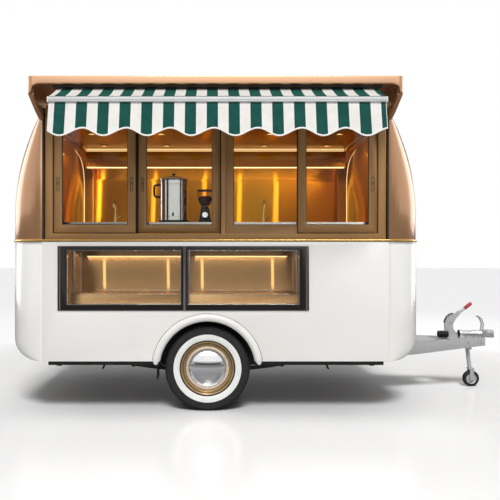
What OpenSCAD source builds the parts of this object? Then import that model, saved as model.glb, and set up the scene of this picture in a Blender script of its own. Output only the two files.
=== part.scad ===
// Single-axle catering trailer with a serving side.
// Millimetres, +Z up, +X towards the coupling, the serving side faces -Y.
// Everything is drawn about a point on the ground below the middle of the body,
// then moved so that the origin is the bottom centre of the whole trailer.

/* [Body] */
// Half the length of the body, to the end wall
body_half = 1550; // [1500:10:1600]
// Half the width of the body
half_w = 1000; // [990:5:1010]
// Thickness of the walls and end caps
wall = 40; // [35:1:45]
// Lower edge of the side panels above the ground
skirt_z = 376; // [370:1:385]
// Middle height of the brass waist strip
waist_z = 1270; // [1265:1:1275]
// Height of the flat roof
roof_z = 2330; // [2310:5:2350]
// Distance of the cap seams from the middle
seam_x = 1283; // [1275:1:1290]

/* [Running gear] */
// Radius of the tyres
tyre_r = 317; // [310:1:320]
// Width of the tyres
tyre_w = 195; // [185:5:205]
// Distance of the axle behind the middle of the body
axle_back = 60; // [40:5:80]
// Radius of the wheel openings
arch_r = 355; // [350:1:360]
// Radius of the small wheel under the drawbar
jockey_r = 70; // [65:1:75]

/* [Drawbar] */
// Foremost point of the coupling from the middle of the body
nose_x = 2454; // [2440:1:2470]
// Height of the top of the drawbar
drawbar_z = 428; // [420:1:428]
// Radius of the socket for a 50 mm tow ball
socket_r = 25.2; // [25.1:0.1:25.4]

/* [Serving side] */
// Reach of the visor in front of the side panel
visor_reach = 331; // [320:1:340]
// Reach of the awning bar in front of the side panel
awning_reach = 498; // [480:1:510]
// Half the width of the awning cloth
cloth_half = 1124; // [1100:1:1130]
// Drop of the valance below the awning bar
valance_h = 242; // [200:1:250]
// Half the height of the scallops
scallop = 27; // [10:1:30]

/* [Hidden] */

// Rounding of the caps
corner_y = 267;      // reach of the upright corners along the width
knee_z = 1471;       // where the end walls start to curve inwards
sweep_r = 1449;      // long curve of the end walls
crown_r = 400;       // short curve into the roof
toe_r = 150;         // curve under the end walls
cove_r = 450;        // curve from the far wall into the roof
cap_step = 8;        // the caps sit this far behind the side panels
sweep_c = [body_half - sweep_r, knee_z];
crown_cz = roof_z - crown_r;
crown_c = [sweep_c[0] + sqrt(pow(sweep_r - crown_r, 2) - pow(crown_cz - knee_z, 2)), crown_cz];
sweep_end = atan2(crown_c[1] - sweep_c[1], crown_c[0] - sweep_c[0]);
cove_c = [half_w - cove_r, roof_z - cove_r];
cap_w = half_w - cap_step;

// Heights
strip_h = 16;
lower_top = waist_z - strip_h / 2;
upper_low = waist_z + strip_h / 2;
deck_z = 430;
inside_z = 455;
frame_top = 2250;
header_back = -half_w + 100;

// Rear door, hinged on the left of the trailer
door_half = 340;
door_low = 450;
door_top = 1960;
door_gap = 14;
hinge_x = -body_half - 14;
hinge_y = door_half + 22;

// Serving windows
frame_half = 1257;
frame_back = -half_w + 90;
bay_low = 1322;
bay_top = 2196;
bay_1 = [-1203, 41];
bay_2 = [73, 1203];
front_track = -985;
rear_track = -951;
sash_t = 28;
rail = 60;
glass_t = 6;
sash_gap = 5.5;
window_1 = [-1197, -592];
window_2 = [-575, 35];
window_3 = [74, 672];
window_4 = [612, 1197];

// Display case behind the lower opening
case_x = [-1166, 690];
case_z = [752, 1229];
case_split = -229;
case_back = -half_w + 740;
case_step_y = -half_w + 240;
case_step_z = case_z[0] + 106;

// Wheels and springs
axle_x = -axle_back;
wheel_y = half_w - 38 - tyre_w / 2;
rim_r = 204;
spring_half = 577;
spring_eye_z = 310;
spring_sag = 48;
spring_y = 690;
spring_r = (spring_half * spring_half + spring_sag * spring_sag) / (2 * spring_sag);
spring_low = spring_eye_z - spring_sag;

// Jockey wheel leg, let down and leaning forwards on its stop
jockey_pivot = [2218, 352];
jockey_axle = [2252, jockey_r];

// Corner steadies, drawn let down and folded up by this angle
steady = [1190, 800, 338];
steady_fold = 72;
steady_pad_z = 8;

// Rear lamps stand this far behind the body, arch lips this far beside it
lamp_stand = 26;
flare_stand = 28;

// Awning
bar_y = -half_w - awning_reach;
bar_z = [2186, 2223];
cloth_t = 4;
lean = 14;
trough_x = -1041;
awning_x = 13;
scallop_pitch = 290.3;
valance_front = bar_y - valance_h * sin(lean) - cloth_t * cos(lean);

// Origin: the bottom centre of the whole trailer
centre = [(nose_x - body_half - lamp_stand) / 2, (half_w + flare_stand + valance_front) / 2];

// ---- Shared shapes ----

module at_origin() translate([-centre[0], -centre[1], 0]) children();

// A box between two corners
module block(low, high) translate(low) cube(high - low);

// Copies on the near and the far side
module both_sides() {
    children();
    mirror([0, 1, 0]) children();
}

// Copies at the front and the rear
module both_ends() {
    children();
    mirror([1, 0, 0]) children();
}

// Cylinder along Y, centred on the axis through [x, z]
module rod_y(x, z, r, y0, y1) translate([x, y0, z]) rotate([-90, 0, 0]) cylinder(r = r, h = y1 - y0, $fn = 64);

module rod_x(y, z, r, x0, x1) translate([x0, y, z]) rotate([0, 90, 0]) cylinder(r = r, h = x1 - x0, $fn = 64);

// Bar with round section between two points
module bar(a, b, r) {
    d = b - a;
    l = norm(d);
    translate(a) rotate([0, acos(d[2] / l), atan2(d[1], d[0])]) cylinder(r = r, h = l, $fn = 32);
}

// Outline in [y, z] carried along X, and outline in [x, z] carried along Y
module along_x(x0, x1) translate([x0, 0, 0]) rotate([90, 0, 90]) linear_extrude(x1 - x0) children();

module along_y(y0, y1) translate([0, y1, 0]) rotate([90, 0, 0]) linear_extrude(y1 - y0) children();

// ---- Curved body ----

function arc(c, r, a0, a1, n) = [for (i = [0:n]) let (a = a0 + (a1 - a0) * i / n) [c[0] + r * cos(a), c[1] + r * sin(a)]];

// Outline of an end wall seen from the side, as [x, z], taken inwards by o
function crown_end(o) = acos((seam_x - crown_c[0]) / (crown_r - o));
function crown(o) = arc(crown_c, crown_r - o, sweep_end, crown_end(o), 8);
function upper_profile(o) = concat([[body_half - o, upper_low]], arc(sweep_c, sweep_r - o, 0, sweep_end, 12),
    [for (i = [1:7]) crown(o)[i]], [[seam_x, crown(o)[8][1]]]);
function lower_profile(o) = concat(arc([body_half - toe_r, skirt_z + toe_r], toe_r - o, -90, 0, 8),
    [[body_half - o, lower_top]]);

// Half width on the far side at height z, taken inwards by o
function far_half(z, o) = z <= cove_c[1] ? cap_w - o
    : cap_w - cove_r + sqrt(max(0, pow(cove_r - o, 2) - pow(z - cove_c[1], 2)));

// Corner of a cap in plan, from the seam round to the end wall at x = a
function corner(a, b, r, n) = [for (i = [0:n]) let (t = 90 * i / n)
    [seam_x + (a - seam_x) * sin(t), b - r + r * cos(t)]];

function ring(p, o, n) = let (
        near = corner(p[0], cap_w - o, corner_y - o, n),
        far = corner(p[0], far_half(p[1], o), corner_y - o, n))
    concat([for (q = near) [q[0], -q[1], p[1]]], [for (i = [n:-1:0]) [far[i][0], far[i][1], p[1]]]);

// Closed shell between an outer and an inner profile of the same length
module cap_shell(outer, inner, n = 14) {
    m = len(outer);
    w = 2 * n + 2;
    points = concat([for (p = outer) each ring(p, 0, n)], [for (p = inner) each ring(p, wall, n)]);
    function id(s, i, j) = s * m * w + i * w + j;
    function quad(q, flip) = flip ? [[q[0], q[2], q[1]], [q[0], q[3], q[2]]] : [[q[0], q[1], q[2]], [q[0], q[2], q[3]]];
    skins = [for (i = [0:m - 2], j = [0:w - 2], s = [0, 1])
        each quad([id(s, i, j), id(s, i, j + 1), id(s, i + 1, j + 1), id(s, i + 1, j)], s == 0)];
    ends = [for (j = [0:w - 2], i = [0, m - 1])
        each quad([id(0, i, j), id(0, i, j + 1), id(1, i, j + 1), id(1, i, j)], i > 0)];
    edges = [for (i = [0:m - 2], j = [0, w - 1])
        each quad([id(0, i, j), id(0, i + 1, j), id(1, i + 1, j), id(1, i, j)], j == 0)];
    polyhedron(points, concat(skins, ends, edges));
}

// Opening for the rear door, with rounded upper corners made of slices
door_round = 70;

module door_hole() {
    a = door_half + door_gap;
    r = door_round + door_gap;
    base = door_top - door_round;
    block([-body_half - 100, -a, door_low - door_gap], [-body_half + 170, a, base]);
    for (i = [0:8]) hull() for (t = [10 * i, 10 * i + 10])
        block([-body_half - 100, -a + r - r * cos(t), base - 1], [-body_half + 170, a - r + r * cos(t), base + r * sin(t)]);
}

module front_cap_lower() color("white") cap_shell(lower_profile(0), lower_profile(wall));

module front_cap_upper() color([0.48, 0.31, 0.2]) cap_shell(upper_profile(0), upper_profile(wall));

module rear_cap_lower() color("white") difference() {
    mirror([1, 0, 0]) cap_shell(lower_profile(0), lower_profile(wall));
    block([-body_half - 100, -door_half - door_gap, door_low - door_gap], [-body_half + 170, door_half + door_gap, waist_z + 100]);
}

module rear_cap_upper() color([0.48, 0.31, 0.2]) difference() {
    mirror([1, 0, 0]) cap_shell(upper_profile(0), upper_profile(wall));
    door_hole();
}

// Outline of the rear door from z0 to z1, as thick as the wall
function door_line(o, z0, z1) = concat([[body_half - o, z0]], z1 <= knee_z ? [[body_half - o, z1]]
    : arc(sweep_c, sweep_r - o, 0, asin((z1 - knee_z) / (sweep_r - o)), 8));

module door_leaf(z0, z1) mirror([1, 0, 0]) along_y(-door_half, door_half)
    polygon(concat(door_line(0, z0, z1), [for (i = [len(door_line(wall, z0, z1)) - 1:-1:0]) door_line(wall, z0, z1)[i]]));

// Hinge knuckle with its flap, and the pull handle
module door_hinge(z) {
    translate([hinge_x, hinge_y, z]) cylinder(r = 8, h = 90, $fn = 32);
    block([hinge_x - 4, hinge_y - 46, z], [hinge_x + 4, hinge_y, z + 90]);
    block([hinge_x - 4, hinge_y - 60, z], [-body_half + 1, hinge_y - 30, z + 90]);
}

module rear_door_lower() color("white") {
    door_leaf(door_low, waist_z);
    door_hinge(620);
    door_hinge(1110);
    block([-body_half - 24, -door_half + 36, 1080], [-body_half - 12, -door_half + 60, 1220]);
    for (z = [1086, 1200]) block([-body_half - 13, -door_half + 40, z], [-body_half + 1, -door_half + 56, z + 14]);
}

// Corner cut away to round the top of the door
module door_corner() difference() {
    block([-body_half - 20, door_half - door_round, door_top - door_round], [-body_half + 200, door_half + 20, door_top + 20]);
    rotate([0, 90, 0]) translate([-door_top + door_round, door_half - door_round, -body_half - 30])
        cylinder(r = door_round, h = 300, $fn = 96);
}

module rear_door_upper() color([0.48, 0.31, 0.2]) difference() {
    door_leaf(waist_z + 0.2, door_top);
    block([-body_half - 10, -door_half + 90, 1400], [-body_half + 200, door_half - 90, 1860]);
    both_sides() door_corner();
}

module rear_door_glass() color([0.8, 0.9, 0.9, 0.3]) intersection() {
    mirror([1, 0, 0]) along_y(-door_half + 91, door_half - 91)
        polygon(concat(arc(sweep_c, sweep_r - 16, -4, 18, 16), arc(sweep_c, sweep_r - 22, 18, -4, 16)));
    block([-body_half - 100, -door_half, 1401], [0, door_half, 1859]);
}

// Section across the body, taken inwards by o, with a straight near side at y = near
module section(o, near, low, high) {
    translate([near, low]) square([half_w - o - near, cove_c[1] - low]);
    translate([near, cove_c[1] - 1]) square([cove_c[0] - near, min(high, roof_z - o) - cove_c[1] + 1]);
    intersection() {
        translate(cove_c) circle(r = cove_r - o, $fn = 96);
        translate([cove_c[0] - 1, cove_c[1] - 1]) square([cove_r + 1, high - cove_c[1] + 1]);
    }
}

// Side view of the roof between the seams, taken inwards by o
module roof_side(o, half) {
    translate([-half, 1500]) square([2 * half, crown_cz - 1500]);
    translate([-crown_c[0], crown_cz - 1]) square([2 * crown_c[0], crown_r - o + 1]);
    intersection() {
        for (x = [-crown_c[0], crown_c[0]]) translate([x, crown_cz]) circle(r = crown_r - o, $fn = 96);
        translate([-half, crown_cz - 1]) square([2 * half, crown_r + 1]);
    }
}

module roof_panel() color([0.48, 0.31, 0.2]) difference() {
    intersection() {
        along_x(-seam_x + 0.5, seam_x - 0.5) section(0, header_back + 0.5, cove_c[1] - 10, roof_z);
        along_y(-half_w, half_w) roof_side(0, seam_x - 0.5);
        block([-2000, -2000, cove_c[1] + 0.5], [2000, 2000, 3000]);
    }
    intersection() {
        along_x(-seam_x, seam_x) section(wall, -half_w, cove_c[1] - 20, roof_z);
        along_y(-half_w - 10, half_w) roof_side(wall, seam_x);
    }
}

module far_side_upper() color([0.48, 0.31, 0.2])
    block([-seam_x + 0.5, half_w - wall, upper_low], [seam_x - 0.5, half_w, cove_c[1]]);

// Side panel with its wheel opening, for the near side
module side_lower() difference() {
    block([-seam_x + 0.5, -half_w, skirt_z], [seam_x - 0.5, -half_w + wall, lower_top]);
    rod_y(axle_x, tyre_r, arch_r, -half_w - 50, -half_w + wall + 10);
}

module serving_side_panel() color("white") difference() {
    side_lower();
    block([case_x[0] + 20, -half_w - 10, case_z[0] + 20], [case_x[1] - 20, -half_w + 60, case_z[1] - 15]);
}

module far_side_lower() color("white") mirror([0, 1, 0]) side_lower();

// Rounded rectangle in plan
module plan(a, b, r) {
    translate([-a, -(b - r)]) square([2 * a, 2 * (b - r)]);
    translate([-(a - r), -b]) square([2 * (a - r), 2 * b]);
    for (x = [-1, 1], y = [-1, 1]) translate([x * (a - r), y * (b - r)]) circle(r = r, $fn = 96);
}

module waist_strip() color([0.78, 0.6, 0.25]) difference() {
    translate([0, 0, lower_top + 0.2]) linear_extrude(strip_h - 0.4) difference() {
        plan(body_half + 6, half_w + 6, 273);
        plan(body_half - wall, half_w - wall - 8, 227);
        square([2 * seam_x, 2 * (half_w - wall)], center = true);
    }
    block([-body_half - 100, -door_half - door_gap, waist_z - 50], [-body_half + 170, door_half + door_gap, waist_z + 50]);
}

// Outline of the floor, just inside the caps where they curve under it
deck_end = 1449;
deck_half = cap_w - wall - 3;
deck_corner = corner(deck_end, deck_half, corner_y - wall - 2, 12);
deck_front = concat(deck_corner, [for (i = [12:-1:0]) [deck_corner[i][0], -deck_corner[i][1]]]);

module floor_deck() color([0.35, 0.3, 0.25]) difference() {
    translate([0, 0, deck_z]) linear_extrude(inside_z - deck_z)
        polygon(concat(deck_front, [for (q = deck_front) -q]));
    both_sides() block([axle_x - arch_r - 22, -half_w, 0], [axle_x + arch_r + 22, -730, 600]);
}

// Ribs at the seams, sheet on the far wall and in the cove, and the ceiling
ceiling_z = 2186;

module rib_outline(o) {
    difference() {
        section(42 + o, -half_w + 42 + o, inside_z + 0.5 - o * 0.02, ceiling_z - 2 - o);
        translate([-half_w, ceiling_z - 2 - o]) square([2 * half_w, 300]);
    }
}

module interior_lining() color([0.85, 0.62, 0.25]) {
    both_ends() along_x(frame_half + 1, seam_x - 1) difference() {
        rib_outline(0);
        rib_outline(50);
    }
    along_x(-frame_half - 0.5, frame_half + 0.5) {
        translate([half_w - wall - 4, inside_z + 897]) square([3, cove_c[1] + 20 - inside_z - 897]);
        intersection() {
            difference() {
                translate(cove_c) circle(r = cove_r - wall - 1, $fn = 96);
                translate(cove_c) circle(r = cove_r - wall - 4, $fn = 96);
            }
            translate([cove_c[0] + 100, cove_c[1] + 19]) square([cove_r, ceiling_z - cove_c[1] - 19]);
        }
        translate([-half_w + 95, ceiling_z - 1]) square([half_w - 95 + cove_c[0] + 262, 3]);
    }
}

// ---- Serving windows ----

bronze = [0.45, 0.32, 0.21];

// Sash with its glass opening
module sash(x, track) difference() {
    block([x[0], track, bay_low + sash_gap], [x[1], track + sash_t, bay_top - sash_gap]);
    block([x[0] + rail, track - 5, bay_low + sash_gap + rail], [x[1] - rail, track + sash_t + 5, bay_top - sash_gap - rail]);
}

module sash_glass(x, track) block([x[0] + rail + 0.5, track + 11, bay_low + sash_gap + 0.5 + rail],
    [x[1] - rail - 0.5, track + 11 + glass_t, bay_top - sash_gap - 0.5 - rail]);

module window_frame() color(bronze) {
    difference() {
        block([-frame_half, -half_w, upper_low + 0.3], [frame_half, frame_back, frame_top]);
        block([bay_1[0], -half_w - 10, bay_low], [bay_1[1], frame_back + 10, bay_top]);
        block([bay_2[0], -half_w - 10, bay_low], [bay_2[1], frame_back + 10, bay_top]);
    }
    difference() {
        block([bay_2[0] - 1, rear_track, bay_low - 1], [window_3[1], rear_track + sash_t, bay_top + 1]);
        block([window_3[0] + rail, rear_track - 5, bay_low + sash_gap + rail],
            [window_3[1] - rail, rear_track + sash_t + 5, bay_top - sash_gap - rail]);
    }
}

module window_1_sash() color(bronze) sash(window_1, front_track);
module window_2_sash() color(bronze) sash(window_2, rear_track);
module window_4_sash() color(bronze) sash(window_4, front_track);
module window_1_glass() color([0.8, 0.9, 0.9, 0.3]) sash_glass(window_1, front_track);
module window_2_glass() color([0.8, 0.9, 0.9, 0.3]) sash_glass(window_2, rear_track);
module window_4_glass() color([0.8, 0.9, 0.9, 0.3]) sash_glass(window_4, front_track);

// ---- Visor and awning ----

visor_half = 1304;
cheek_t = 37;
visor_top = 2406;
visor_front = -half_w - visor_reach;
lip_z = 2349;

// Side of the visor, as [y, z]
cheek_line = [[-half_w, visor_top], [visor_front + 12, visor_top], [visor_front, visor_top - 12],
    [visor_front, lip_z - 20], [visor_front + 8, lip_z - 40], [visor_front + 28, lip_z - 66],
    [visor_front + 60, lip_z - 84], [-half_w - 117, 2200], [-half_w, 2162]];

module visor() color([0.5, 0.33, 0.21]) {
    for (x = [-visor_half, visor_half - cheek_t]) along_x(x, x + cheek_t) polygon(cheek_line);
    block([-visor_half + 30, visor_front, lip_z], [visor_half - 30, visor_front + 34, visor_top]);
    block([-visor_half + 30, visor_front + 33, visor_top - 26], [visor_half - 30, -half_w + 1, visor_top]);
    block([-seam_x + 1, -half_w, frame_top + 0.5], [seam_x - 1, header_back, visor_top]);
}

// Cassette below the visor, folding arms and front bar
module awning_frame() color([0.85, 0.85, 0.84]) translate([awning_x, 0, 0]) {
    block([-1150, -half_w - 292, 2332], [1150, -half_w - 228, visor_top - 27]);
    block([-1135, bar_y - 15, bar_z[0]], [1135, bar_y + 15, bar_z[1]]);
    for (s = [-1, 1]) {
        block([s * 1120 - 15, -half_w - 229, 2340], [s * 1120 + 15, -half_w - 0.5, 2366]);
        bar([s * 1090, -half_w - 240, 2326], [s * 420, -half_w - 352, 2252], 12);
        bar([s * 420, -half_w - 352, 2252], [s * 900, bar_y + 10, bar_z[0] + 14], 11);
        block([s * 1090 - 20, -half_w - 262, 2316], [s * 1090 + 20, -half_w - 230, 2334]);
    }
}

// Sloping cloth and its scalloped valance, as flat sheets
cloth_start = [-half_w - 262, 2331];
cloth_end = [bar_y - 2, bar_z[1] + 5];

module awning_canopy() color([0.1, 0.36, 0.3]) translate([awning_x, 0, 0]) {
    d = cloth_end - cloth_start;
    l = norm(d);
    translate([-cloth_half, cloth_start[0], cloth_start[1] - cloth_t - 1]) rotate([atan2(-d[1], -d[0]), 0, 0])
        translate([0, -l, 0]) cube([2 * cloth_half, l, cloth_t]);
    translate([0, bar_y, bar_z[0] - 0.5]) rotate([90 - lean, 0, 0]) linear_extrude(cloth_t)
        polygon(concat([[cloth_half, -1.5], [-cloth_half, -1.5]], [for (i = [0:77]) let (x = -cloth_half + 2 * cloth_half * i / 77)
            [x, -valance_h + scallop - scallop * cos(360 * (x - trough_x) / scallop_pitch)]]));
}

// ---- Display case and kitchen ----

module display_frame() color([0.25, 0.25, 0.25]) difference() {
    union() {
        block([case_x[0], -half_w - 8, case_z[0]], [case_x[1], -half_w - 0.3, case_z[1]]);
        block([case_x[0] + 20.5, -half_w - 1, case_z[0] + 20.5], [case_x[1] - 20.5, -half_w + 40, case_z[1] - 15.5]);
    }
    for (x = [[case_x[0] + 69, case_split - 26], [case_split + 26, case_x[1] - 72]])
        block([x[0], -half_w - 20, case_z[0] + 45], [x[1], -half_w + 60, case_z[1] - 31]);
}

module case_pane(x0, x1) block([x0, -half_w + 40.5, case_z[0] + 30], [x1, -half_w + 46.5, case_z[1] - 20]);

module fixed_glass() color([0.8, 0.9, 0.9, 0.3]) {
    case_pane(case_x[0] + 50, case_split - 8);
    case_pane(case_split + 8, case_x[1] - 50);
    sash_glass(window_3, rear_track);
}

// Lined box with two cells, open towards the glass
module display_case() color([0.8, 0.62, 0.35]) difference() {
    block([case_x[0] + 30, -half_w + 47, case_z[0] + 8], [case_x[1] - 30, case_back, case_z[1] - 3]);
    for (x = [[case_x[0] + 42, case_split - 10], [case_split + 10, case_x[1] - 42]])
        difference() {
            block([x[0], -half_w, case_z[0] + 30], [x[1], case_back - 12, case_z[1] - 15]);
            block([x[0] - 1, case_step_y, case_z[0]], [x[1] + 1, case_back, case_step_z]);
        }
}

counter_z = [1372, 1410];
counter_y = [-half_w + 96, -half_w + 700];
sink_x = [-812, 393];
sink = [170, 130];
sink_y = -half_w + 350;

module serving_counter() color([0.75, 0.75, 0.74]) {
    difference() {
        block([-frame_half + 5, counter_y[0], counter_z[0]], [frame_half - 5, counter_y[1], counter_z[1]]);
        for (x = sink_x) block([x - sink[0], sink_y - sink[1], 0], [x + sink[0], sink_y + sink[1], 2000]);
    }
    for (x = sink_x) difference() {
        block([x - sink[0] - 1, sink_y - sink[1] - 1, 1240], [x + sink[0] + 1, sink_y + sink[1] + 1, counter_z[1] - 4]);
        block([x - sink[0] + 8, sink_y - sink[1] + 8, 1250], [x + sink[0] - 8, sink_y + sink[1] - 8, 2000]);
    }
    difference() {
        block([case_x[1] + 100, counter_y[0], inside_z + 1], [frame_half - 8, counter_y[1] - 30, counter_z[0] + 1]);
        block([case_x[1] + 118, counter_y[0] - 10, inside_z + 20], [frame_half - 26, counter_y[1] - 48, counter_z[0] - 160]);
    }
}

module counter_taps() color([0.8, 0.65, 0.35]) for (x = sink_x) {
    y = sink_y + sink[1] + 40;
    bar([x, y, counter_z[1] + 0.5], [x, y, 1566], 10);
    bar([x, y, 1566], [x, y - 50, 1598], 9);
    bar([x, y - 50, 1598], [x, y - 92, 1560], 8);
    bar([x, y, 1452], [x + 48, y, 1474], 6);
}

module back_counter() color([0.75, 0.75, 0.74]) {
    difference() {
        block([-frame_half + 5, half_w - 560, inside_z + 1], [frame_half - 5, half_w - 42, inside_z + 860]);
        block([-frame_half + 23, half_w - 542, inside_z + 20], [frame_half - 23, half_w, inside_z + 842]);
        block([axle_x - 390, 715, 0], [axle_x + 390, half_w, 710]);
    }
    block([-frame_half + 5, half_w - 590, inside_z + 859], [frame_half - 5, half_w - 42, inside_z + 895]);
}

module overhead_locker() color([0.8, 0.6, 0.3])
    along_x(-frame_half + 5, frame_half - 5) difference() {
        polygon([[570, 2030], [570, 2166], [815, 2166], [905, 2030]]);
        polygon([[582, 2042], [582, 2154], [808, 2154], [882, 2042]]);
    }

module coffee_urn() color([0.8, 0.8, 0.8]) translate([-327, -half_w + 330, counter_z[1] + 0.5]) {
    cylinder(r = 118, h = 22, $fn = 64);
    translate([0, 0, 22]) cylinder(r = 110, h = 320, $fn = 64);
    translate([0, 0, 342]) cylinder(r1 = 114, r2 = 66, h = 24, $fn = 64);
    translate([0, 0, 366]) cylinder(r = 14, h = 24, $fn = 32);
}

module coffee_grinder() color([0.12, 0.11, 0.1]) translate([-82, -half_w + 330, counter_z[1] + 0.5]) {
    translate([-58, -70, 0]) cube([116, 140, 120]);
    translate([0, 0, 120]) cylinder(r1 = 26, r2 = 60, h = 74, $fn = 64);
    translate([0, 0, 194]) cylinder(r = 60, h = 62, $fn = 64);
    translate([0, 0, 256]) cylinder(r = 63, h = 8, $fn = 64);
}

// ---- Chassis and running gear ----

module chassis() color([0.08, 0.08, 0.08]) both_sides() {
    difference() {
        block([-1330, -spring_y - 25, 370], [1330, -spring_y + 25, deck_z - 0.5]);
        block([-1400, -spring_y - 21, 376], [1400, -spring_y + 40, deck_z - 8]);
    }
    block([-1245, -half_w + 42, 343], [axle_x - arch_r - 30, -half_w + 82, deck_z - 0.5]);
    block([axle_x + arch_r + 30, -half_w + 42, 343], [1252, -half_w + 82, deck_z - 0.5]);
    for (x = [-1200, -640, 0, 560, 1200]) block([x - 25, -spring_y - 1, 378], [x + 25, 0, deck_z - 0.5]);
    for (x = [-1200, -640, 560, 1200]) block([x - 25, -half_w + 81, 386], [x + 25, -spring_y - 20, deck_z - 0.5]);
    for (x = [-steady[0], steady[0]], s = [-1, 1]) difference() {
        block([x - 20, -steady[1] + s * 39 - 3, steady[2] - 20], [x + 20, -steady[1] + s * 39 + 3, 390]);
        rod_y(x, steady[2], 10.15, -half_w, 0);
    }
}

// Semi-elliptic spring as a shallow arc below the axle tube, with its eyes, hangers and clamp
module leaf_spring() {
    intersection() {
        difference() {
            rod_y(axle_x, spring_low + spring_r, spring_r + 12, -spring_y - 25, -spring_y + 25);
            rod_y(axle_x, spring_low + spring_r, spring_r - 12, -spring_y - 30, -spring_y + 30);
        }
        block([axle_x - spring_half, -spring_y - 40, spring_low - 20], [axle_x + spring_half, -spring_y + 40, spring_eye_z + 30]);
    }
    for (x = [-spring_half, spring_half]) {
        rod_y(axle_x + x, spring_eye_z + 4, 24, -spring_y - 26, -spring_y + 26);
        block([axle_x + x - 20, -spring_y - 20, spring_eye_z + 10], [axle_x + x + 20, -spring_y + 20, 369.5]);
    }
    block([axle_x - 60, -spring_y - 34, spring_low - 24], [axle_x + 60, -spring_y + 34, tyre_r - 26]);
}

module axle() color([0.1, 0.1, 0.1]) {
    block([axle_x - 30, -790, tyre_r - 30], [axle_x + 30, 790, tyre_r + 30]);
    both_sides() {
        leaf_spring();
        rod_y(axle_x, tyre_r, 16, -wheel_y - 34, -780);
    }
}

// Inner boxes over the wheels, with the mud flaps
module wheel_boxes() color([0.12, 0.12, 0.12]) both_sides() {
    y0 = -half_w + wall + 1;
    difference() {
        rod_y(axle_x, tyre_r, arch_r + 16, y0, -733);
        rod_y(axle_x, tyre_r, arch_r + 4, y0 - 10, -747);
        block([axle_x - 500, -1100, -200], [axle_x + 500, -600, 330]);
        block([axle_x - 70, -1100, -200], [axle_x + 70, -600, 376]);
    }
    block([axle_x - arch_r - 26, y0 + 46, 376.5], [axle_x - arch_r - 6, -734, 384]);
    block([axle_x - arch_r - 26, y0 + 46, 225], [axle_x - arch_r - 20, -734, 384]);
}

// Half-round lip around a wheel opening
module arch_flares() color("white") both_sides() difference() {
    translate([axle_x, -half_w - 0.5, tyre_r]) rotate([90, 0, 0]) rotate_extrude($fn = 128)
        translate([arch_r + 30, 0]) circle(r = flare_stand - 0.5, $fn = 32);
    block([axle_x - 600, -half_w - 0.5, -200], [axle_x + 600, -half_w + 200, 2000]);
    block([axle_x - 600, -half_w - 200, -200], [axle_x + 600, -half_w + 200, tyre_r + 26]);
}

// Half section of a tyre: tread, shoulders and side walls
module tyre_section() {
    half = tyre_w / 2;
    round_r = 26;
    difference() {
        union() {
            translate([rim_r + 6, -half]) square([tyre_r - round_r - rim_r - 6, tyre_w]);
            translate([rim_r - 4, -half + 14]) square([40, tyre_w - 28]);
            translate([tyre_r - round_r - 2, -half + round_r]) square([round_r + 2, tyre_w - 2 * round_r]);
            for (s = [-1, 1]) translate([tyre_r - round_r, s * (half - round_r)]) circle(r = round_r, $fn = 48);
        }
        translate([0, -half + 24]) square([tyre_r - 22, tyre_w - 48]);
    }
}

// Places a wheel drawn about Z on its side of the axle, outside up
module on_axle(side) translate([axle_x, side * wheel_y, tyre_r]) rotate([side < 0 ? 90 : -90, 0, 0]) children();

module right_tyre() color([0.06, 0.06, 0.06]) on_axle(-1) rotate_extrude($fn = 128) tyre_section();
module left_tyre() color([0.06, 0.06, 0.06]) on_axle(1) rotate_extrude($fn = 128) tyre_section();

// Steel wheel with barrel, disc, hub and domed cap
module wheel_section() {
    translate([184, -90]) square([15, 180]);
    for (s = [-1, 1]) translate([184, s * 87 - 3]) square([23, 6]);
    translate([16.15, 28]) square([170, 9]);
    translate([16.15, -20]) square([40, 50]);
    difference() {
        translate([0, 36.5]) square([152, 18]);
        translate([0, -100]) square([16.15, 140]);
    }
    intersection() {
        translate([0, -82]) circle(r = 170, $fn = 128);
        translate([0, 54]) square([136, 60]);
    }
}

module right_wheel() color([0.8, 0.7, 0.5]) on_axle(-1) rotate_extrude($fn = 128) wheel_section();
module left_wheel() color([0.8, 0.7, 0.5]) on_axle(1) rotate_extrude($fn = 128) wheel_section();

// ---- Drawbar ----

bar_root = [1345, 300];
bar_tip = [2364, 44];

// Tapering side member, deeper at the body, cut back below the front wall
module side_member() difference() {
    linear_extrude(1000) polygon([[bar_root[0], -bar_root[1]], [bar_tip[0], -bar_tip[1]],
        [bar_tip[0], -bar_tip[1] + 9], [bar_root[0], -bar_root[1] + 9]]);
    block([0, -2000, -10], [3000, 2000, 308]);
    block([0, -2000, drawbar_z], [3000, 2000, 1010]);
    translate([1680, 0, 308]) rotate([0, -atan((362 - 308) / (bar_tip[0] - 1680)), 0]) translate([-20, -2000, -300]) cube([1500, 4000, 300]);
    block([1250, -2000, 369], [1522, 2000, 1010]);
}

module drawbar() color([0.66, 0.66, 0.67]) {
    both_sides() side_member();
    block([bar_root[0] - 9, -300, 309], [bar_root[0], 300, 369]);
    translate([0, 0, drawbar_z - 8]) linear_extrude(8)
        polygon([[1523, -254], [1523, 254], [1900, 158], [1900, -158]]);
    block([bar_tip[0] - 10, -44, 362], [bar_tip[0], 44, drawbar_z]);
    translate([0, 0, drawbar_z - 8]) linear_extrude(8) polygon([[2030, -127], [2030, 127], [2360, 44], [2360, -44]]);
    for (s = [-1, 1]) difference() {
        block([jockey_pivot[0] - 26, s * 40 - 4, jockey_pivot[1] - 24], [jockey_pivot[0] + 26, s * 40 + 4, drawbar_z - 7]);
        rod_y(jockey_pivot[0], jockey_pivot[1], 10.15, -100, 100);
    }
}

ball_x = nose_x - 44;
head_z = 462;

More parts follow.
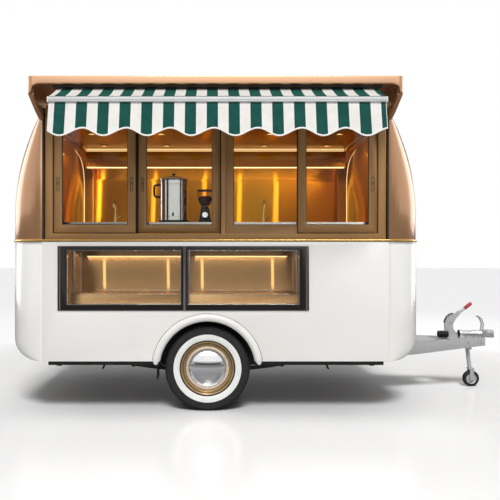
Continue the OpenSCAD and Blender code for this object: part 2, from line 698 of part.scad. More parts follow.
module coupling() color([0.75, 0.75, 0.76]) {
    difference() {
        union() {
            rod_x(0, head_z, 31, 2150, 2372);
            rod_x(0, head_z, 34, 2150, 2176);
            block([2146, -30, drawbar_z + 0.5], [2364, 30, head_z]);
            translate([ball_x, 0, head_z - 30]) cylinder(r = 44, h = 62, $fn = 64);
            block([2340, -32, head_z - 29], [ball_x, 32, head_z + 27]);
        }
        translate([ball_x, 0, head_z - 100]) cylinder(r = socket_r, h = 104, $fn = 64);
        translate([ball_x, 0, head_z + 3.9]) cylinder(r1 = socket_r - 1, r2 = 12, h = 14, $fn = 64);
        block([2100, -100, head_z - 60], [2365, 100, drawbar_z + 0.5]);
    }
    for (s = [-1, 1]) along_y(s * 24 - 4, s * 24 + 4) polygon([[2342, head_z + 22], [2352, head_z + 22], [2361, 545],
        [2345, 596], [2318, 621], [2309, 614], [2336, 590], [2350, 545]]);
    block([2308, -24, 610], [2318, 24, 620]);
    block([2338, -28, head_z + 22], [2356, 28, head_z + 34]);
}

// Base, toothed plate and lever
module handbrake() color([0.78, 0.78, 0.78]) {
    block([2040, -22, drawbar_z + 0.5], [2140, 22, drawbar_z + 26]);
    along_y(-9, 9) polygon([[2040, 440], [2026, 480], [2019, 540], [2034, 593], [2062, 622], [2099, 640], [2120, 645],
        [2150, 640], [2120, 612], [2100, 590], [2093, 557], [2097, 504], [2128, 468], [2141, 440]]);
    bar([2110, 0, 618], [2196, 0, 684], 12);
    bar([2196, 0, 684], [2256, 0, 731], 16);
}

// Leg with its pivot tube and fork
module jockey_leg() color([0.7, 0.7, 0.72]) {
    p = jockey_pivot;
    a = jockey_axle;
    rod_y(p[0], p[1], 10, -46, 46);
    rod_y(p[0], p[1], 17, -30, 30);
    bar([p[0] + 2, 0, p[1] - 6], [a[0] - 9, 0, a[1] + 90], 17);
    difference() {
        union() {
            block([a[0] - 26, -34, a[1] + 82], [a[0] + 20, 34, a[1] + 92]);
            for (s = [-1, 1]) block([a[0] - 18, s * 31 - 3, a[1] - 18], [a[0] + 18, s * 31 + 3, a[1] + 84]);
        }
        rod_y(a[0], a[1], 8.15, -60, 60);
    }
}

module jockey_wheel() color([0.15, 0.15, 0.15]) {
    a = jockey_axle;
    rod_y(a[0], a[1], 8, -40, 40);
    rod_y(a[0], a[1], jockey_r, -22, 22);
}

// ---- Corner steadies ----

// Leg let down from its pivot, with its foot plate, then folded up under the floor
module steady_leg() {
    drop = steady[2] - steady_pad_z;
    reach = drop / tan(steady_fold);
    l = drop / sin(steady_fold);
    translate([steady[0], 0, steady[2]]) rotate([0, steady_fold, 0]) {
        rotate([0, -steady_fold, 0]) block([-l + 6, -26, -11], [14, 26, 11]);
        block([-reach - 50, -42, -drop], [-reach + 50, 42, -drop + 8]);
        rotate([90, 0, 0]) translate([0, 0, -46]) cylinder(r = 10, h = 92, $fn = 64);
    }
}

module front_right_steady() color([0.06, 0.06, 0.06]) translate([0, -steady[1], 0]) steady_leg();
module front_left_steady() color([0.06, 0.06, 0.06]) translate([0, steady[1], 0]) steady_leg();
module rear_right_steady() color([0.06, 0.06, 0.06]) translate([0, -steady[1], 0]) mirror([1, 0, 0]) steady_leg();
module rear_left_steady() color([0.06, 0.06, 0.06]) translate([0, steady[1], 0]) mirror([1, 0, 0]) steady_leg();

// ---- Rear end ----

module rear_lamps() color([0.7, 0.05, 0.05]) both_sides() {
    rod_x(-590, 640, 58, -body_half - lamp_stand, -body_half - 0.5);
    rod_x(-590, 780, 40, -body_half - 20, -body_half - 0.5);
}

at_origin() floor_deck();
at_origin() front_cap_lower();
at_origin() front_cap_upper();
at_origin() rear_cap_lower();
at_origin() rear_cap_upper();
at_origin() serving_side_panel();
at_origin() far_side_lower();
at_origin() far_side_upper();
at_origin() roof_panel();
at_origin() interior_lining();
at_origin() waist_strip();
at_origin() window_frame();
at_origin() fixed_glass();
at_origin() visor();
at_origin() awning_frame();
at_origin() awning_canopy();
at_origin() display_frame();
at_origin() display_case();
at_origin() serving_counter();
at_origin() counter_taps();
at_origin() back_counter();
at_origin() overhead_locker();
at_origin() coffee_urn();
at_origin() coffee_grinder();
at_origin() chassis();
at_origin() axle();
at_origin() wheel_boxes();
at_origin() arch_flares();
at_origin() drawbar();
at_origin() coupling();
at_origin() handbrake();
at_origin() rear_lamps();
at_origin() window_1_sash();
at_origin() window_1_glass();
at_origin() window_2_sash();
at_origin() window_2_glass();
at_origin() window_4_sash();
at_origin() window_4_glass();
at_origin() rear_door_lower();
at_origin() rear_door_upper();
at_origin() rear_door_glass();
at_origin() right_tyre();
at_origin() right_wheel();
at_origin() left_tyre();
at_origin() left_wheel();
at_origin() rear_right_steady();
at_origin() rear_left_steady();
at_origin() front_right_steady();
at_origin() front_left_steady();
at_origin() jockey_leg();
at_origin() jockey_wheel();
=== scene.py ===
"""Looks of the single-axle catering trailer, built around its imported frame.

Lengths are metres. Shapes are written in the body's own frame: x from the middle of the body
towards the coupling, y from its middle plane (the serving side is negative), z above the ground.
"""

from math import cos, pi, radians, sin, sqrt, tan

import bmesh
import bpy
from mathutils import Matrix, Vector


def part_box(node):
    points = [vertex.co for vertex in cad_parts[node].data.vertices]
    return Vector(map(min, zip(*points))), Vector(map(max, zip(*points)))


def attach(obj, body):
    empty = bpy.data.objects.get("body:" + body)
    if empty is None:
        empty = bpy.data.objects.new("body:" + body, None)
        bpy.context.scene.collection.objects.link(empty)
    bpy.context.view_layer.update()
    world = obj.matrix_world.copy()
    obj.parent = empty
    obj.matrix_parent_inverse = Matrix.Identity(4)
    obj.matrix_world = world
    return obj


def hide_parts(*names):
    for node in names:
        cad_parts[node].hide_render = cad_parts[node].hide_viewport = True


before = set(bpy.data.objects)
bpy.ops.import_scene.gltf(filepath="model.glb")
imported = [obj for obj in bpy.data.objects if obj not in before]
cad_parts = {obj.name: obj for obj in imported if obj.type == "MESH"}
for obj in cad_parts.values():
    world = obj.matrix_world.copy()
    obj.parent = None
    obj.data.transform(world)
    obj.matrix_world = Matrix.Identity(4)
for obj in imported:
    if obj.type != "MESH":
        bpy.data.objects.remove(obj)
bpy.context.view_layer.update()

# ---- Places taken from the frame ----

cap_front, cap_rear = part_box("front_cap_lower"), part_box("rear_cap_lower")
near_side, far_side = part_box("serving_side_panel"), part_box("far_side_lower")
MIDDLE = Vector(((cap_rear[0].x + cap_front[1].x) / 2, (near_side[0].y + far_side[1].y) / 2, 0))


def local(node):
    """Lowest and highest corner of a CAD node in the body's frame."""
    low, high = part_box(node)
    return low - MIDDLE, high - MIDDLE


HALF_W = (far_side[1].y - near_side[0].y) / 2
NEAR = -HALF_W  # outer face of the serving side
SEAM = local("serving_side_panel")[1].x  # where the side panels meet the end caps
WAIST_Z = (local("waist_strip")[0].z + local("waist_strip")[1].z) / 2
COUNTER_TOP = local("coffee_urn")[0].z
SIDES = (-1, 1)
X, Y, Z = Vector((1, 0, 0)), Vector((0, 1, 0)), Vector((0, 0, 1))


def add_object(name, data):
    made = bpy.data.objects.new(name, data)
    bpy.context.scene.collection.objects.link(made)
    return made


# ---- Camera ----

EYE = Vector((0, NEAR - 5.13, 1.2))


def make_camera():
    data = bpy.data.cameras.new("camera")
    data.lens = 50
    data.sensor_width = 36
    data.shift_x = 0.069
    camera = add_object("camera", data)
    camera.location = EYE + MIDDLE
    camera.rotation_euler = (radians(90), 0, 0)
    bpy.context.scene.camera = camera


# ---- Materials ----


def srgb(red, green, blue):
    """Linear colour of an 8-bit screen colour."""
    def linear(c):
        c /= 255
        return c / 12.92 if c <= 0.04045 else ((c + 0.055) / 1.055) ** 2.4
    return (linear(red), linear(green), linear(blue), 1)


def grey(level):
    return (level, level, level, 1)


class Nodes:
    """A node tree, with short ways to add nodes."""

    def __init__(self, tree):
        self.tree = tree

    def feed(self, socket, value):
        """Links an output to a socket, or sets the socket's own value."""
        if isinstance(value, bpy.types.NodeSocket):
            self.tree.links.new(value, socket)
        else:
            socket.default_value = value

    def add(self, kind, inputs=None, **settings):
        node = self.tree.nodes.new("ShaderNode" + kind)
        for key, value in settings.items():
            setattr(node, key, value)
        for key, value in (inputs or {}).items():
            self.feed(node.inputs[key], value)
        return node

    def math(self, operation, a, b=0.0):
        return self.add("Math", {0: a, 1: b}, operation=operation).outputs[0]

    def vector(self, operation, a, b=(0, 0, 0), output=0):
        return self.add("VectorMath", {0: a, 1: b}, operation=operation).outputs[output]

    def between(self, factor, low, high, start=0.3, end=0.7, **settings):
        """A number that runs from low to high as factor runs from start to end."""
        inputs = {"Value": factor, "From Min": start, "From Max": end, "To Min": low,
                  "To Max": high}
        return self.add("MapRange", inputs, **settings).outputs[0]

    def blend(self, factor, a, b):
        """A number between a and b."""
        return self.add("Mix", {0: factor, 2: a, 3: b}).outputs[0]

    def mix(self, factor, a, b):
        """A colour between a and b."""
        return self.add("Mix", {0: factor, 6: a, 7: b}, data_type="RGBA").outputs[2]


class Paint(Nodes):
    """A material's nodes around its shader."""

    def __init__(self, name):
        self.material = bpy.data.materials.new(name)
        self.material.use_nodes = True
        super().__init__(self.material.node_tree)
        self.shader = self.tree.nodes["Principled BSDF"]
        self.place = self.add("TexCoord").outputs["Object"]

    def noise(self, scale, stretch=(1, 1, 1), detail=3):
        place = self.add("Mapping", {"Vector": self.place, "Scale": stretch}).outputs[0]
        inputs = {"Vector": place, "Scale": scale, "Detail": detail}
        return self.add("TexNoise", inputs).outputs["Fac"]

    def threads(self, direction):
        """Fine waves across one axis, as the threads of a cloth."""
        inputs = {"Vector": self.place, "Scale": 200.0}
        return self.add("TexWave", inputs, bands_direction=direction).outputs["Fac"]

    def bump(self, height, millimetres, strength=1.0):
        inputs = {"Height": height, "Distance": millimetres / 1000, "Strength": strength}
        self.link(self.add("Bump", inputs).outputs[0], "Normal")

    def link(self, output, name):
        self.tree.links.new(output, self.shader.inputs[name])

    def set(self, **values):
        for key, value in values.items():
            self.shader.inputs[key.replace("_", " ")].default_value = value

    def tones(self, factor, dark, light):
        """Base colour between two 8-bit screen colours."""
        self.link(self.mix(factor, srgb(*dark), srgb(*light)), "Base Color")

    def tint(self, scale, colour, dimmed):
        """Base colour that wanders between a linear colour and a dimmer one."""
        self.link(self.mix(self.noise(scale), colour, [c * dimmed for c in colour[:3]] + [1]),
                  "Base Color")


def surface(name, dark, light, rough, patch, grain=500, grain_mm=0.01, stretch=(1, 1, 1), **values):
    """A finish that wanders between two colours and two roughnesses, with a fine grain. patch and
    grain say how many times to the metre each varies."""
    paint = Paint(name)
    paint.tones(paint.between(paint.noise(patch, stretch), 0, 1), dark, light)
    paint.link(paint.between(paint.noise(patch * 5, stretch), *rough), "Roughness")
    paint.bump(paint.noise(grain), grain_mm)
    paint.set(**values)
    return paint.material


def brushed(name, dark, light, rough, along, anisotropic=0.8, metal=1.0, fine=300.0, **values):
    """Metal brushed along one axis: fine streaks, and gloss stretched across them."""
    paint = Paint(name)
    stretch = [1.0 if axis == along else fine for axis in "XYZ"]
    streaks = paint.noise(2.5, stretch, detail=4)
    paint.tones(paint.between(streaks, 0, 1), dark, light)
    paint.link(paint.between(streaks, *rough), "Roughness")
    normal = paint.add("NewGeometry").outputs["Normal"]
    axis = [float(axis == along) for axis in "XYZ"]
    paint.link(paint.vector("CROSS_PRODUCT", normal, axis), "Tangent")
    paint.set(Metallic=metal, Anisotropic=anisotropic, **values)
    return paint.material


def glowing(name, colour, strength):
    paint = Paint(name)
    paint.tint(40, colour, 0.9)
    paint.set(Emission_Color=colour, Emission_Strength=strength, Roughness=0.4)
    return paint.material


STRIPE_PITCH = 0.1452
STRIPE_GREEN = 0.0745  # width of a green stripe
FIRST_GREEN = -1.0745  # where the first one starts


def striped_cloth():
    """Acrylic awning cloth with woven-in stripes, in the order they run along the trailer."""
    paint = Paint("awning_stripes")
    along = paint.add("SeparateXYZ", {"Vector": paint.place}).outputs["X"]
    start = FIRST_GREEN + MIDDLE.x - STRIPE_PITCH * 20
    turns = paint.math("DIVIDE", paint.math("SUBTRACT", along, start), STRIPE_PITCH)
    is_green = paint.math("LESS_THAN", paint.math("FRACT", turns), STRIPE_GREEN / STRIPE_PITCH)
    wear = paint.between(paint.noise(14), 0, 1)
    green = paint.mix(wear, srgb(22, 74, 66), srgb(28, 84, 75))
    cream = paint.mix(wear, srgb(227, 224, 219), srgb(236, 233, 229))
    paint.link(paint.mix(is_green, cream, green), "Base Color")
    paint.link(paint.between(paint.noise(60), 0.75, 0.9), "Roughness")
    paint.bump(paint.math("MULTIPLY", paint.threads("X"), paint.threads("Z")), 0.15, 0.4)
    paint.set(Specular_IOR_Level=0.12)
    return paint.material


def clear_glass(name, tint):
    paint = Paint(name)
    paint.tint(2, tint, 0.985)
    paint.link(paint.between(paint.noise(30), 0.0, 0.01), "Roughness")
    paint.set(Transmission_Weight=1.0, IOR=1.2)
    return paint.material


def make_materials():
    """Every finish by name."""
    flat = {"Specular_IOR_Level": 0.4}
    gloss = {"Coat_Weight": 1.0, "Coat_Roughness": 0.06}
    brush_z = {"stretch": (1, 1, 0.2), **flat}
    along_x = (0.3, 1, 1)
    return {
        # Panels
        "white": surface("white_gelcoat", (235, 233, 229), (238, 236, 232), (0.25, 0.265), 1.2, 90,
                         0.02, Coat_Weight=0.6, Coat_Roughness=0.08),
        "bronze": surface("bronze_paint", (184, 137, 97), (188, 141, 100), (0.33, 0.345), 0.9, 2500,
                          0.002, Metallic=0.72, **gloss),
        "frame": surface("bronze_anodised", (150, 112, 68), (156, 117, 72), (0.42, 0.46), 2, 1200,
                         0.004, Metallic=0.15, **brush_z),
        # Darker bronze for the posts behind the sash gaps: painted shade in the gaps.
        "gap_shade_bronze": surface("painted_shade_bronze", (70, 50, 32), (80, 58, 38), (0.5, 0.6), 2, 1200, 0.004,
                              **brush_z),
        "dark_frame": surface("dark_anodised", (36, 33, 30), (44, 41, 37), (0.3, 0.38), 3, 1200,
                              stretch=along_x, Metallic=0.6),
        "board": surface("floor_board", (70, 54, 42), (92, 72, 56), (0.5, 0.65), 8, 300, 0.05,
                         (0.3, 3, 3)),
        "plate": surface("blank_plate", (228, 228, 224), (236, 236, 232), (0.35, 0.45), 9),
        # Brushed and bright metal
        "gold": brushed("gold_lining", (230, 166, 44), (234, 170, 48), (0.29, 0.31), "X",
                        metal=0.85),
        "arch": brushed("gold_arch", (196, 128, 34), (208, 142, 44), (0.26, 0.34), "Z", metal=0.8),
        "case": brushed("case_lining", (176, 142, 102), (180, 146, 105), (0.25, 0.265), "X",
                        metal=0.85),
        "steel": brushed("brushed_steel", (172, 166, 158), (178, 172, 164), (0.27, 0.29), "X"),
        "steel_z": brushed("polished_steel", (196, 194, 190), (208, 206, 202), (0.1, 0.16), "Z",
                           anisotropic=0.0, fine=120.0),
        "brass": surface("polished_brass", (205, 165, 95), (222, 184, 112), (0.14, 0.22), 6, 900,
                         Metallic=1.0),
        "chrome": surface("chrome", (222, 223, 225), (232, 233, 235), (0.03, 0.07), 5, 40, 0.004,
                          Metallic=1.0),
        "light_metal": surface("satin_aluminium", (186, 189, 189), (198, 200, 199), (0.3, 0.4), 4,
                               900, stretch=along_x, Metallic=0.35),
        "zinc": surface("galvanised_steel", (178, 178, 178), (188, 188, 188), (0.38, 0.5), 40, 260,
                        0.02, Metallic=0.3),
        "zinc_bright": surface("bright_zinc", (190, 190, 190), (214, 214, 213), (0.24, 0.34), 30,
                               Metallic=0.8),
        "wheel": surface("gold_wheel_paint", (160, 134, 92), (174, 148, 104), (0.28, 0.36), 9, 900,
                         Metallic=0.55, **gloss),
        "wheel_light": surface("pale_gold_paint", (226, 206, 184), (236, 218, 198), (0.25, 0.33),
                               9, 900, Metallic=0.4, **gloss),
        # Cloth, rubber and plastic
        "cloth": striped_cloth(),
        "binding": surface("white_binding", (240, 238, 232), (250, 248, 244), (0.7, 0.85), 40, 1200,
                           0.1, Sheen_Weight=0.15),
        "black": surface("black_metal", (20, 20, 21), (32, 32, 33), (0.38, 0.55), 12, 700, 0.03),
        # The roller cassette's dark brown is painted shade from the visor above it.
        "case_black": surface("painted_shade_cassette", (44, 36, 30), (54, 45, 38), (0.5, 0.6), 9),
        "plastic": surface("black_plastic", (22, 22, 22), (30, 30, 30), (0.5, 0.62), 20, 1500,
                           0.06),
        "rubber": surface("tyre_rubber", (24, 24, 24), (34, 33, 33), (0.62, 0.8), 20, 900, 0.05,
                          **flat),
        "whitewall": surface("white_rubber", (226, 226, 222), (238, 238, 235), (0.45, 0.6), 12, 500,
                             0.02),
        "seal": surface("seal_rubber", (14, 14, 14), (22, 22, 22), (0.55, 0.7), 30),
        "red": surface("red_grip", (160, 28, 28), (182, 38, 36), (0.35, 0.45), 60, 1200, 0.05),
        "beans": surface("coffee_beans", (44, 24, 12), (84, 48, 24), (0.3, 0.5), 160, 170, 2.0),
        # Glass, lenses and lights
        "glass": clear_glass("window_glass", (0.97, 0.99, 0.98, 1)),
        "hopper": clear_glass("hopper_glass", (0.9, 0.82, 0.7, 1)),
        "red_lens": surface("red_lens", (150, 8, 10), (176, 14, 14), (0.08, 0.14), 20, 300, 0.05,
                            **gloss),
        "amber_lens": surface("amber_lens", (214, 110, 10), (232, 128, 20), (0.08, 0.14), 20, 300,
                              0.05, **gloss),
        "led": glowing("warm_light", (1.0, 0.72, 0.32, 1), 1.7),
        "led_soft": glowing("soft_warm_light", (1.0, 0.7, 0.32, 1), 1.5),
    }


# ---- Shapes ----


def rounded(outline, radius, steps=5, only=None):
    """A closed outline with its corners rounded. only lists the corners to round."""
    made = []
    count = len(outline)
    for i, corner in enumerate(outline):
        here = Vector(corner)
        if only is not None and i not in only:
            made.append(here)
            continue
        before, after = Vector(outline[i - 1]), Vector(outline[(i + 1) % count])
        a, b = before - here, after - here
        reach = radius / max(0.2, tan(max(0.05, a.angle(b)) / 2))
        start = here + a.normalized() * min(reach, a.length * 0.48)
        end = here + b.normalized() * min(reach, b.length * 0.48)
        for k in range(steps + 1):
            t = k / steps
            made.append(start * (1 - t) ** 2 + here * 2 * t * (1 - t) + end * t * t)
    return [tuple(p) for p in made]


def rectangle(x0, x1, y0, y1):
    return [(x0, y0), (x1, y0), (x1, y1), (x0, y1)]


def arc(centre, radius, start, end, count):
    """Points on an arc, angles in degrees."""
    angles = [radians(start + (end - start) * k / count) for k in range(count + 1)]
    return [(centre[0] + radius * cos(a), centre[1] + radius * sin(a)) for a in angles]


def smooth_path(points, per_leg=8):
    """A Catmull-Rom curve through given points."""
    p = [Vector(q) for q in points]
    p = [2 * p[0] - p[1], *p, 2 * p[-1] - p[-2]]
    made = []
    for i in range(1, len(p) - 2):
        for k in range(per_leg):
            t = k / per_leg
            made.append(0.5 * ((2 * p[i]) + (p[i + 1] - p[i - 1]) * t
                               + (2 * p[i - 1] - 5 * p[i] + 4 * p[i + 1] - p[i + 2]) * t * t
                               + (3 * p[i] - p[i - 1] - 3 * p[i + 1] + p[i + 2]) * t ** 3))
    return [*made, p[-2]]


class Shape:
    """Vertices and faces of one piece, in the body's frame."""

    def __init__(self):
        self.points, self.faces, self.slots, self.slot = [], [], [], 0

    def paint(self, slot):
        """Faces added from here on take this material slot."""
        self.slot = slot
        return self

    def add(self, points, faces):
        base = len(self.points)
        self.points += [Vector(p) for p in points]
        self.faces += [[base + i for i in face] for face in faces]
        self.slots += [self.slot] * len(faces)
        return self

    def box(self, corner, other):
        """A box between any two opposite corners."""
        (x0, x1), (y0, y1), (z0, z1) = (sorted(pair) for pair in zip(corner, other))
        return self.prism(rectangle(x0, x1, y0, y1), "z", z0, z1)

    def prism(self, outline, axis, start, end):
        """A closed outline carried along an axis. It holds (y, z), (x, z) or (x, y)."""
        def place(q, along):
            return {"x": (along, *q), "y": (q[0], along, q[1]), "z": (*q, along)}[axis]
        return self.grid([[place(q, along) for q in outline] for along in sorted((start, end))])

    def grid(self, rows, ring=True, loop=False, caps=True):
        """Quads between rows of points. A ring closes each row, a loop joins last to first."""
        width, count = len(rows[0]), len(rows)
        faces = []
        for i in range(count if loop else count - 1):
            for j in range(width if ring else width - 1):
                a, b = i * width, (i + 1) % count * width
                k = (j + 1) % width
                faces.append([a + j, a + k, b + k, b + j])
        if ring and caps and not loop:
            faces += [list(range(width)), list(range((count - 1) * width, count * width))[::-1]]
        return self.add([p for row in rows for p in row], faces)

    def lathe(self, profile, centre, axis, count=64, closed=True):
        """A profile of (radius, along) turned about an axis."""
        ahead = {"x": X, "y": Y, "z": Z}[axis]
        side = X if axis == "z" else Z
        up = ahead.cross(side)
        rows = []
        for k in range(count):
            turn = 2 * pi * k / count
            out = side * cos(turn) + up * sin(turn)
            rows.append([Vector(centre) + ahead * s + out * r for r, s in profile])
        return self.grid(rows, ring=closed, loop=True)

    def tube(self, path, radius, count=14):
        """A round bar along points; radius is one number or one for each point."""
        path = [Vector(p) for p in path]
        radii = radius if isinstance(radius, (list, tuple)) else [radius] * len(path)
        side = None
        rows = []
        for i, here in enumerate(path):
            ahead = (path[min(i + 1, len(path) - 1)] - path[max(i - 1, 0)]).normalized()
            if side is None:
                side = ahead.orthogonal().normalized()
            side = (side - ahead * side.dot(ahead)).normalized()
            up = ahead.cross(side)
            turns = [2 * pi * k / count for k in range(count)]
            rows.append([here + radii[i] * (side * cos(t) + up * sin(t)) for t in turns])
        return self.grid(rows)

    def piece(self, name, materials, slot, body="trailer", bevel=0.0, sharp=32, replaces=""):
        """Makes the piece's object, which rides on its body. materials lists their names."""
        mesh = bpy.data.meshes.new(name)
        mesh.from_pydata([p + MIDDLE for p in self.points], [], self.faces)
        for i, index in enumerate(self.slots):
            mesh.polygons[i].material_index = index
        work = bmesh.new()
        work.from_mesh(mesh)
        bmesh.ops.remove_doubles(work, verts=work.verts, dist=1e-6)
        bmesh.ops.recalc_face_normals(work, faces=work.faces)
        work.to_mesh(mesh)
        work.free()
        mesh.polygons.foreach_set("use_smooth", [True] * len(mesh.polygons))
        mesh.set_sharp_from_angle(angle=radians(sharp))
        for material in materials.split():
            mesh.materials.append(M[material])
        piece = add_object(name, mesh)
        if bevel:
            soften(piece, bevel)
        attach(piece, body)
        if replaces:
            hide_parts(replaces)
        return piece


def soften(piece, width):
    """Small round on every sharp edge."""
    bevel = piece.modifiers.new("rounding", "BEVEL")
    bevel.width = width
    bevel.segments = 2
    bevel.limit_method = "ANGLE"
    bevel.angle_limit = radians(35)
    bevel.harden_normals = True


def finish_node(name, materials, bevel=0.0, pick=None, see_through=False):
    """Gives a CAD node its materials. pick says which of them a face at a place takes."""
    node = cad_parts[name]
    node.data.materials.clear()
    for material in materials.split():
        node.data.materials.append(M[material])
    for face in node.data.polygons:
        face.use_smooth = not see_through
        face.material_index = pick(face.center - MIDDLE, face.normal) if pick else 0
    if not see_through:
        node.data.set_sharp_from_angle(angle=radians(30))
    weld = node.modifiers.new("weld", "WELD")
    weld.merge_threshold = 1e-5
    flat = node.modifiers.new("flat", "DECIMATE")
    flat.decimate_type = "DISSOLVE"
    flat.angle_limit = radians(0.5)
    flat.delimit = {"MATERIAL"}
    if bevel:
        soften(node, bevel)
    if see_through:
        node.visible_shadow = False
    return node


# ---- CAD nodes that stay ----


def faces_inwards(place, normal):
    """1 for a face of a wall or cap that faces the cabin, 0 outside."""
    middle = Vector((max(-SEAM, min(SEAM, place.x)) * 0.98, 0, 1.35))
    return 1 if normal.dot(place - middle) < 0 else 0


# Finish and rounding of the CAD nodes that keep their shape
KEPT_NODES = (
    ("white", 0.003, "serving_side_panel far_side_lower rear_door_lower"),
    ("bronze", 0.003, "far_side_upper rear_door_upper"),
    ("brass", 0.0035, "waist_strip"),
    ("gold", 0.001, "interior_lining"),
    ("gold", 0.003, "overhead_locker"),
    ("board", 0.002, "floor_deck"),
    ("frame", 0.003, "window_frame window_1_sash window_2_sash window_4_sash"),
    ("dark_frame", 0.002, "display_frame"),
    ("case", 0.002, "display_case"),
    ("steel", 0.003, "serving_counter back_counter"),
    ("black", 0.002, "chassis axle wheel_boxes front_right_steady front_left_steady "
                     "rear_right_steady rear_left_steady"),
    ("zinc", 0.002, "drawbar jockey_leg"),
    ("zinc_bright", 0.002, "coupling"),
)
GLASS_NODES = "fixed_glass window_1_glass window_2_glass window_4_glass rear_door_glass"


def finish_kept_nodes():
    for material, bevel, nodes in KEPT_NODES:
        for node in nodes.split():
            finish_node(node, material, bevel)
    for node in GLASS_NODES.split():
        finish_node(node, "glass", see_through=True)
    for outside, nodes in (("bronze gold", "front_cap_upper rear_cap_upper roof_panel"),
                           ("white steel", "front_cap_lower rear_cap_lower")):
        for node in nodes.split():
            finish_node(node, outside, 0.002, faces_inwards)


make_camera()
M = make_materials()
finish_kept_nodes()

# ---- Visor and awning ----

VISOR_HALF = local("visor")[1].x
VISOR_TOP = local("visor")[1].z
VISOR_FRONT = local("visor")[0].y
LIP_Z = 2.349  # lower edge of the fascia
CHEEK_T = 0.037  # thickness of the fascia and cheeks
# A cheek's lower edge as (y, z), from the fascia back to the wall
CHEEK_LOW = [(VISOR_FRONT, 2.329), (VISOR_FRONT + 0.008, 2.309), (VISOR_FRONT + 0.028, 2.283),
             (VISOR_FRONT + 0.06, 2.265), (NEAR - 0.117, 2.2), (NEAR, 2.162)]


def cheek_low(y):
    """Height of a cheek's lower edge."""
    line = smooth_path([(*p, 0) for p in CHEEK_LOW], 6)
    for a, b in zip(line, line[1:]):
        if y <= b.x:
            return a.y + (b.y - a.y) * max(0.0, (y - a.x) / max(1e-6, b.x - a.x))
    return line[-1].y


def make_visor():
    """Fascia and cheeks as one band with round corners, its roof, and the windows' header."""
    radius, fillet = 0.034, 0.05
    side = VISOR_HALF - CHEEK_T / 2
    front = VISOR_FRONT + CHEEK_T / 2
    turn = radius - CHEEK_T / 2
    path = [(-side, NEAR + 0.001 - 0.02 * k) for k in range(15)]
    path += [(-side + turn + p[0], front + turn + p[1]) for p in arc((0, 0), turn, 180, 270, 10)]
    path += [(-side + turn + 0.006 * k, front) for k in range(1, 13)]
    path += [(-x, y) for x, y in path[::-1]]
    rows = []
    for i, (x, y) in enumerate(path):
        before, after = path[max(0, i - 1)], path[min(len(path) - 1, i + 1)]
        ahead = Vector((after[0] - before[0], after[1] - before[1])).normalized()
        out = Vector((ahead.y, -ahead.x))
        if abs(x) > side - turn:
            low = min(LIP_Z, cheek_low(y))
        else:
            low = LIP_Z - 0.02 * (1 - min(1.0, (side - turn - abs(x)) / fillet)) ** 2
        half = CHEEK_T / 2
        profile = [(half, low), (half, VISOR_TOP), (-half, VISOR_TOP), (-half, low)]
        profile = rounded(profile, 0.007, 4, only=(0, 1, 3))
        rows.append([(x + out.x * a, y + out.y * a, z) for a, z in profile])
    shape = Shape().grid(rows)
    inner = VISOR_HALF - CHEEK_T + 0.002
    shape.box((-inner, VISOR_FRONT + CHEEK_T - 0.002, VISOR_TOP - 0.026),
              (inner, NEAR, VISOR_TOP - 0.0002))
    head = rounded([(NEAR, 2.2505), (NEAR, VISOR_TOP), (NEAR + 0.1, VISOR_TOP),
                    (NEAR + 0.1, 2.2505)], 0.012, only=(2,))
    shape.prism(head, "x", -SEAM + 0.001, SEAM - 0.001)
    shape.piece("visor_shell", "bronze", "bronze_panel", sharp=30, replaces="visor")
    seal = Shape()
    seal.prism(rounded(rectangle(NEAR - 0.006, NEAR + 0.001, 2.253, 2.263), 0.003), "x",
               -SEAM + 0.03, SEAM - 0.03)
    seal.piece("visor_seal", "seal", "black_rubber")


AWNING_X = 0.013  # middle of the awning
BAR_Y = local("awning_frame")[0].y + 0.015
BAR_LOW, BAR_HIGH = 2.186, 2.223
CLOTH_HALF = 1.124  # half the cloth's width
VALANCE = 0.242  # drop at the lowest scallop
LEAN = radians(14)  # from upright
SCALLOP, SCALLOP_PITCH, SCALLOP_START = 0.027, 0.2903, -1.041


def make_awning_frame():
    shape = Shape()
    nose, heel = BAR_Y - 0.015, BAR_Y + 0.0145
    front = [(nose, BAR_LOW + 0.004), (nose, BAR_LOW + 0.0085), (nose + 0.0045, BAR_LOW + 0.009),
             (nose + 0.0045, BAR_LOW + 0.0135), (nose, BAR_LOW + 0.014), (nose, BAR_HIGH - 0.009),
             (nose + 0.009, BAR_HIGH), (heel - 0.003, BAR_HIGH), (heel, BAR_HIGH - 0.003),
             (heel, BAR_LOW + 0.003), (heel - 0.003, BAR_LOW), (nose + 0.004, BAR_LOW)]
    shape.prism(front, "x", AWNING_X - 1.127, AWNING_X + 1.127)
    for side in SIDES:
        elbow = (AWNING_X + side * 0.42, NEAR - 0.352, 2.252)
        shoulder = (AWNING_X + side * 1.09, NEAR - 0.24, 2.318)
        wrist = (AWNING_X + side * 0.9, BAR_Y + 0.012, BAR_LOW + 0.014)
        shape.tube([shoulder, elbow], 0.0118, 16).tube([elbow, wrist], 0.0105, 16)
        for joint, half, radius in ((elbow, 0.019, 0.019), (shoulder, 0.02, 0.022)):
            shape.tube([Vector(joint) - Z * half, Vector(joint) + Z * half], radius, 24)
    shape.paint(1)
    for side in SIDES:
        shape.prism(rounded(rectangle(nose, heel, BAR_LOW, BAR_HIGH), 0.006), "x",
                    AWNING_X + side * 1.127, AWNING_X + side * 1.135)
    # The roller cassette under the visor, in a dark brown that is painted shade.
    shape.paint(2)
    case = (NEAR - 0.292, NEAR - 0.228, 2.333, VISOR_TOP - 0.027)
    shape.prism(rounded(rectangle(*case), 0.012), "x", AWNING_X - 1.15, AWNING_X + 1.15)
    for side in SIDES:
        x = AWNING_X + side * 1.12
        shape.box((x - 0.015, NEAR - 0.229, 2.34), (x + 0.015, NEAR, 2.366))
    shape.piece("awning_arms", "light_metal plate case_black", "light_metal", bevel=0.0008,
                replaces="awning_frame")


def valance_length(x):
    """Drop of the valance at x, measured from the awning's own middle."""
    return VALANCE - SCALLOP + SCALLOP * cos(2 * pi * (x - SCALLOP_START) / SCALLOP_PITCH)


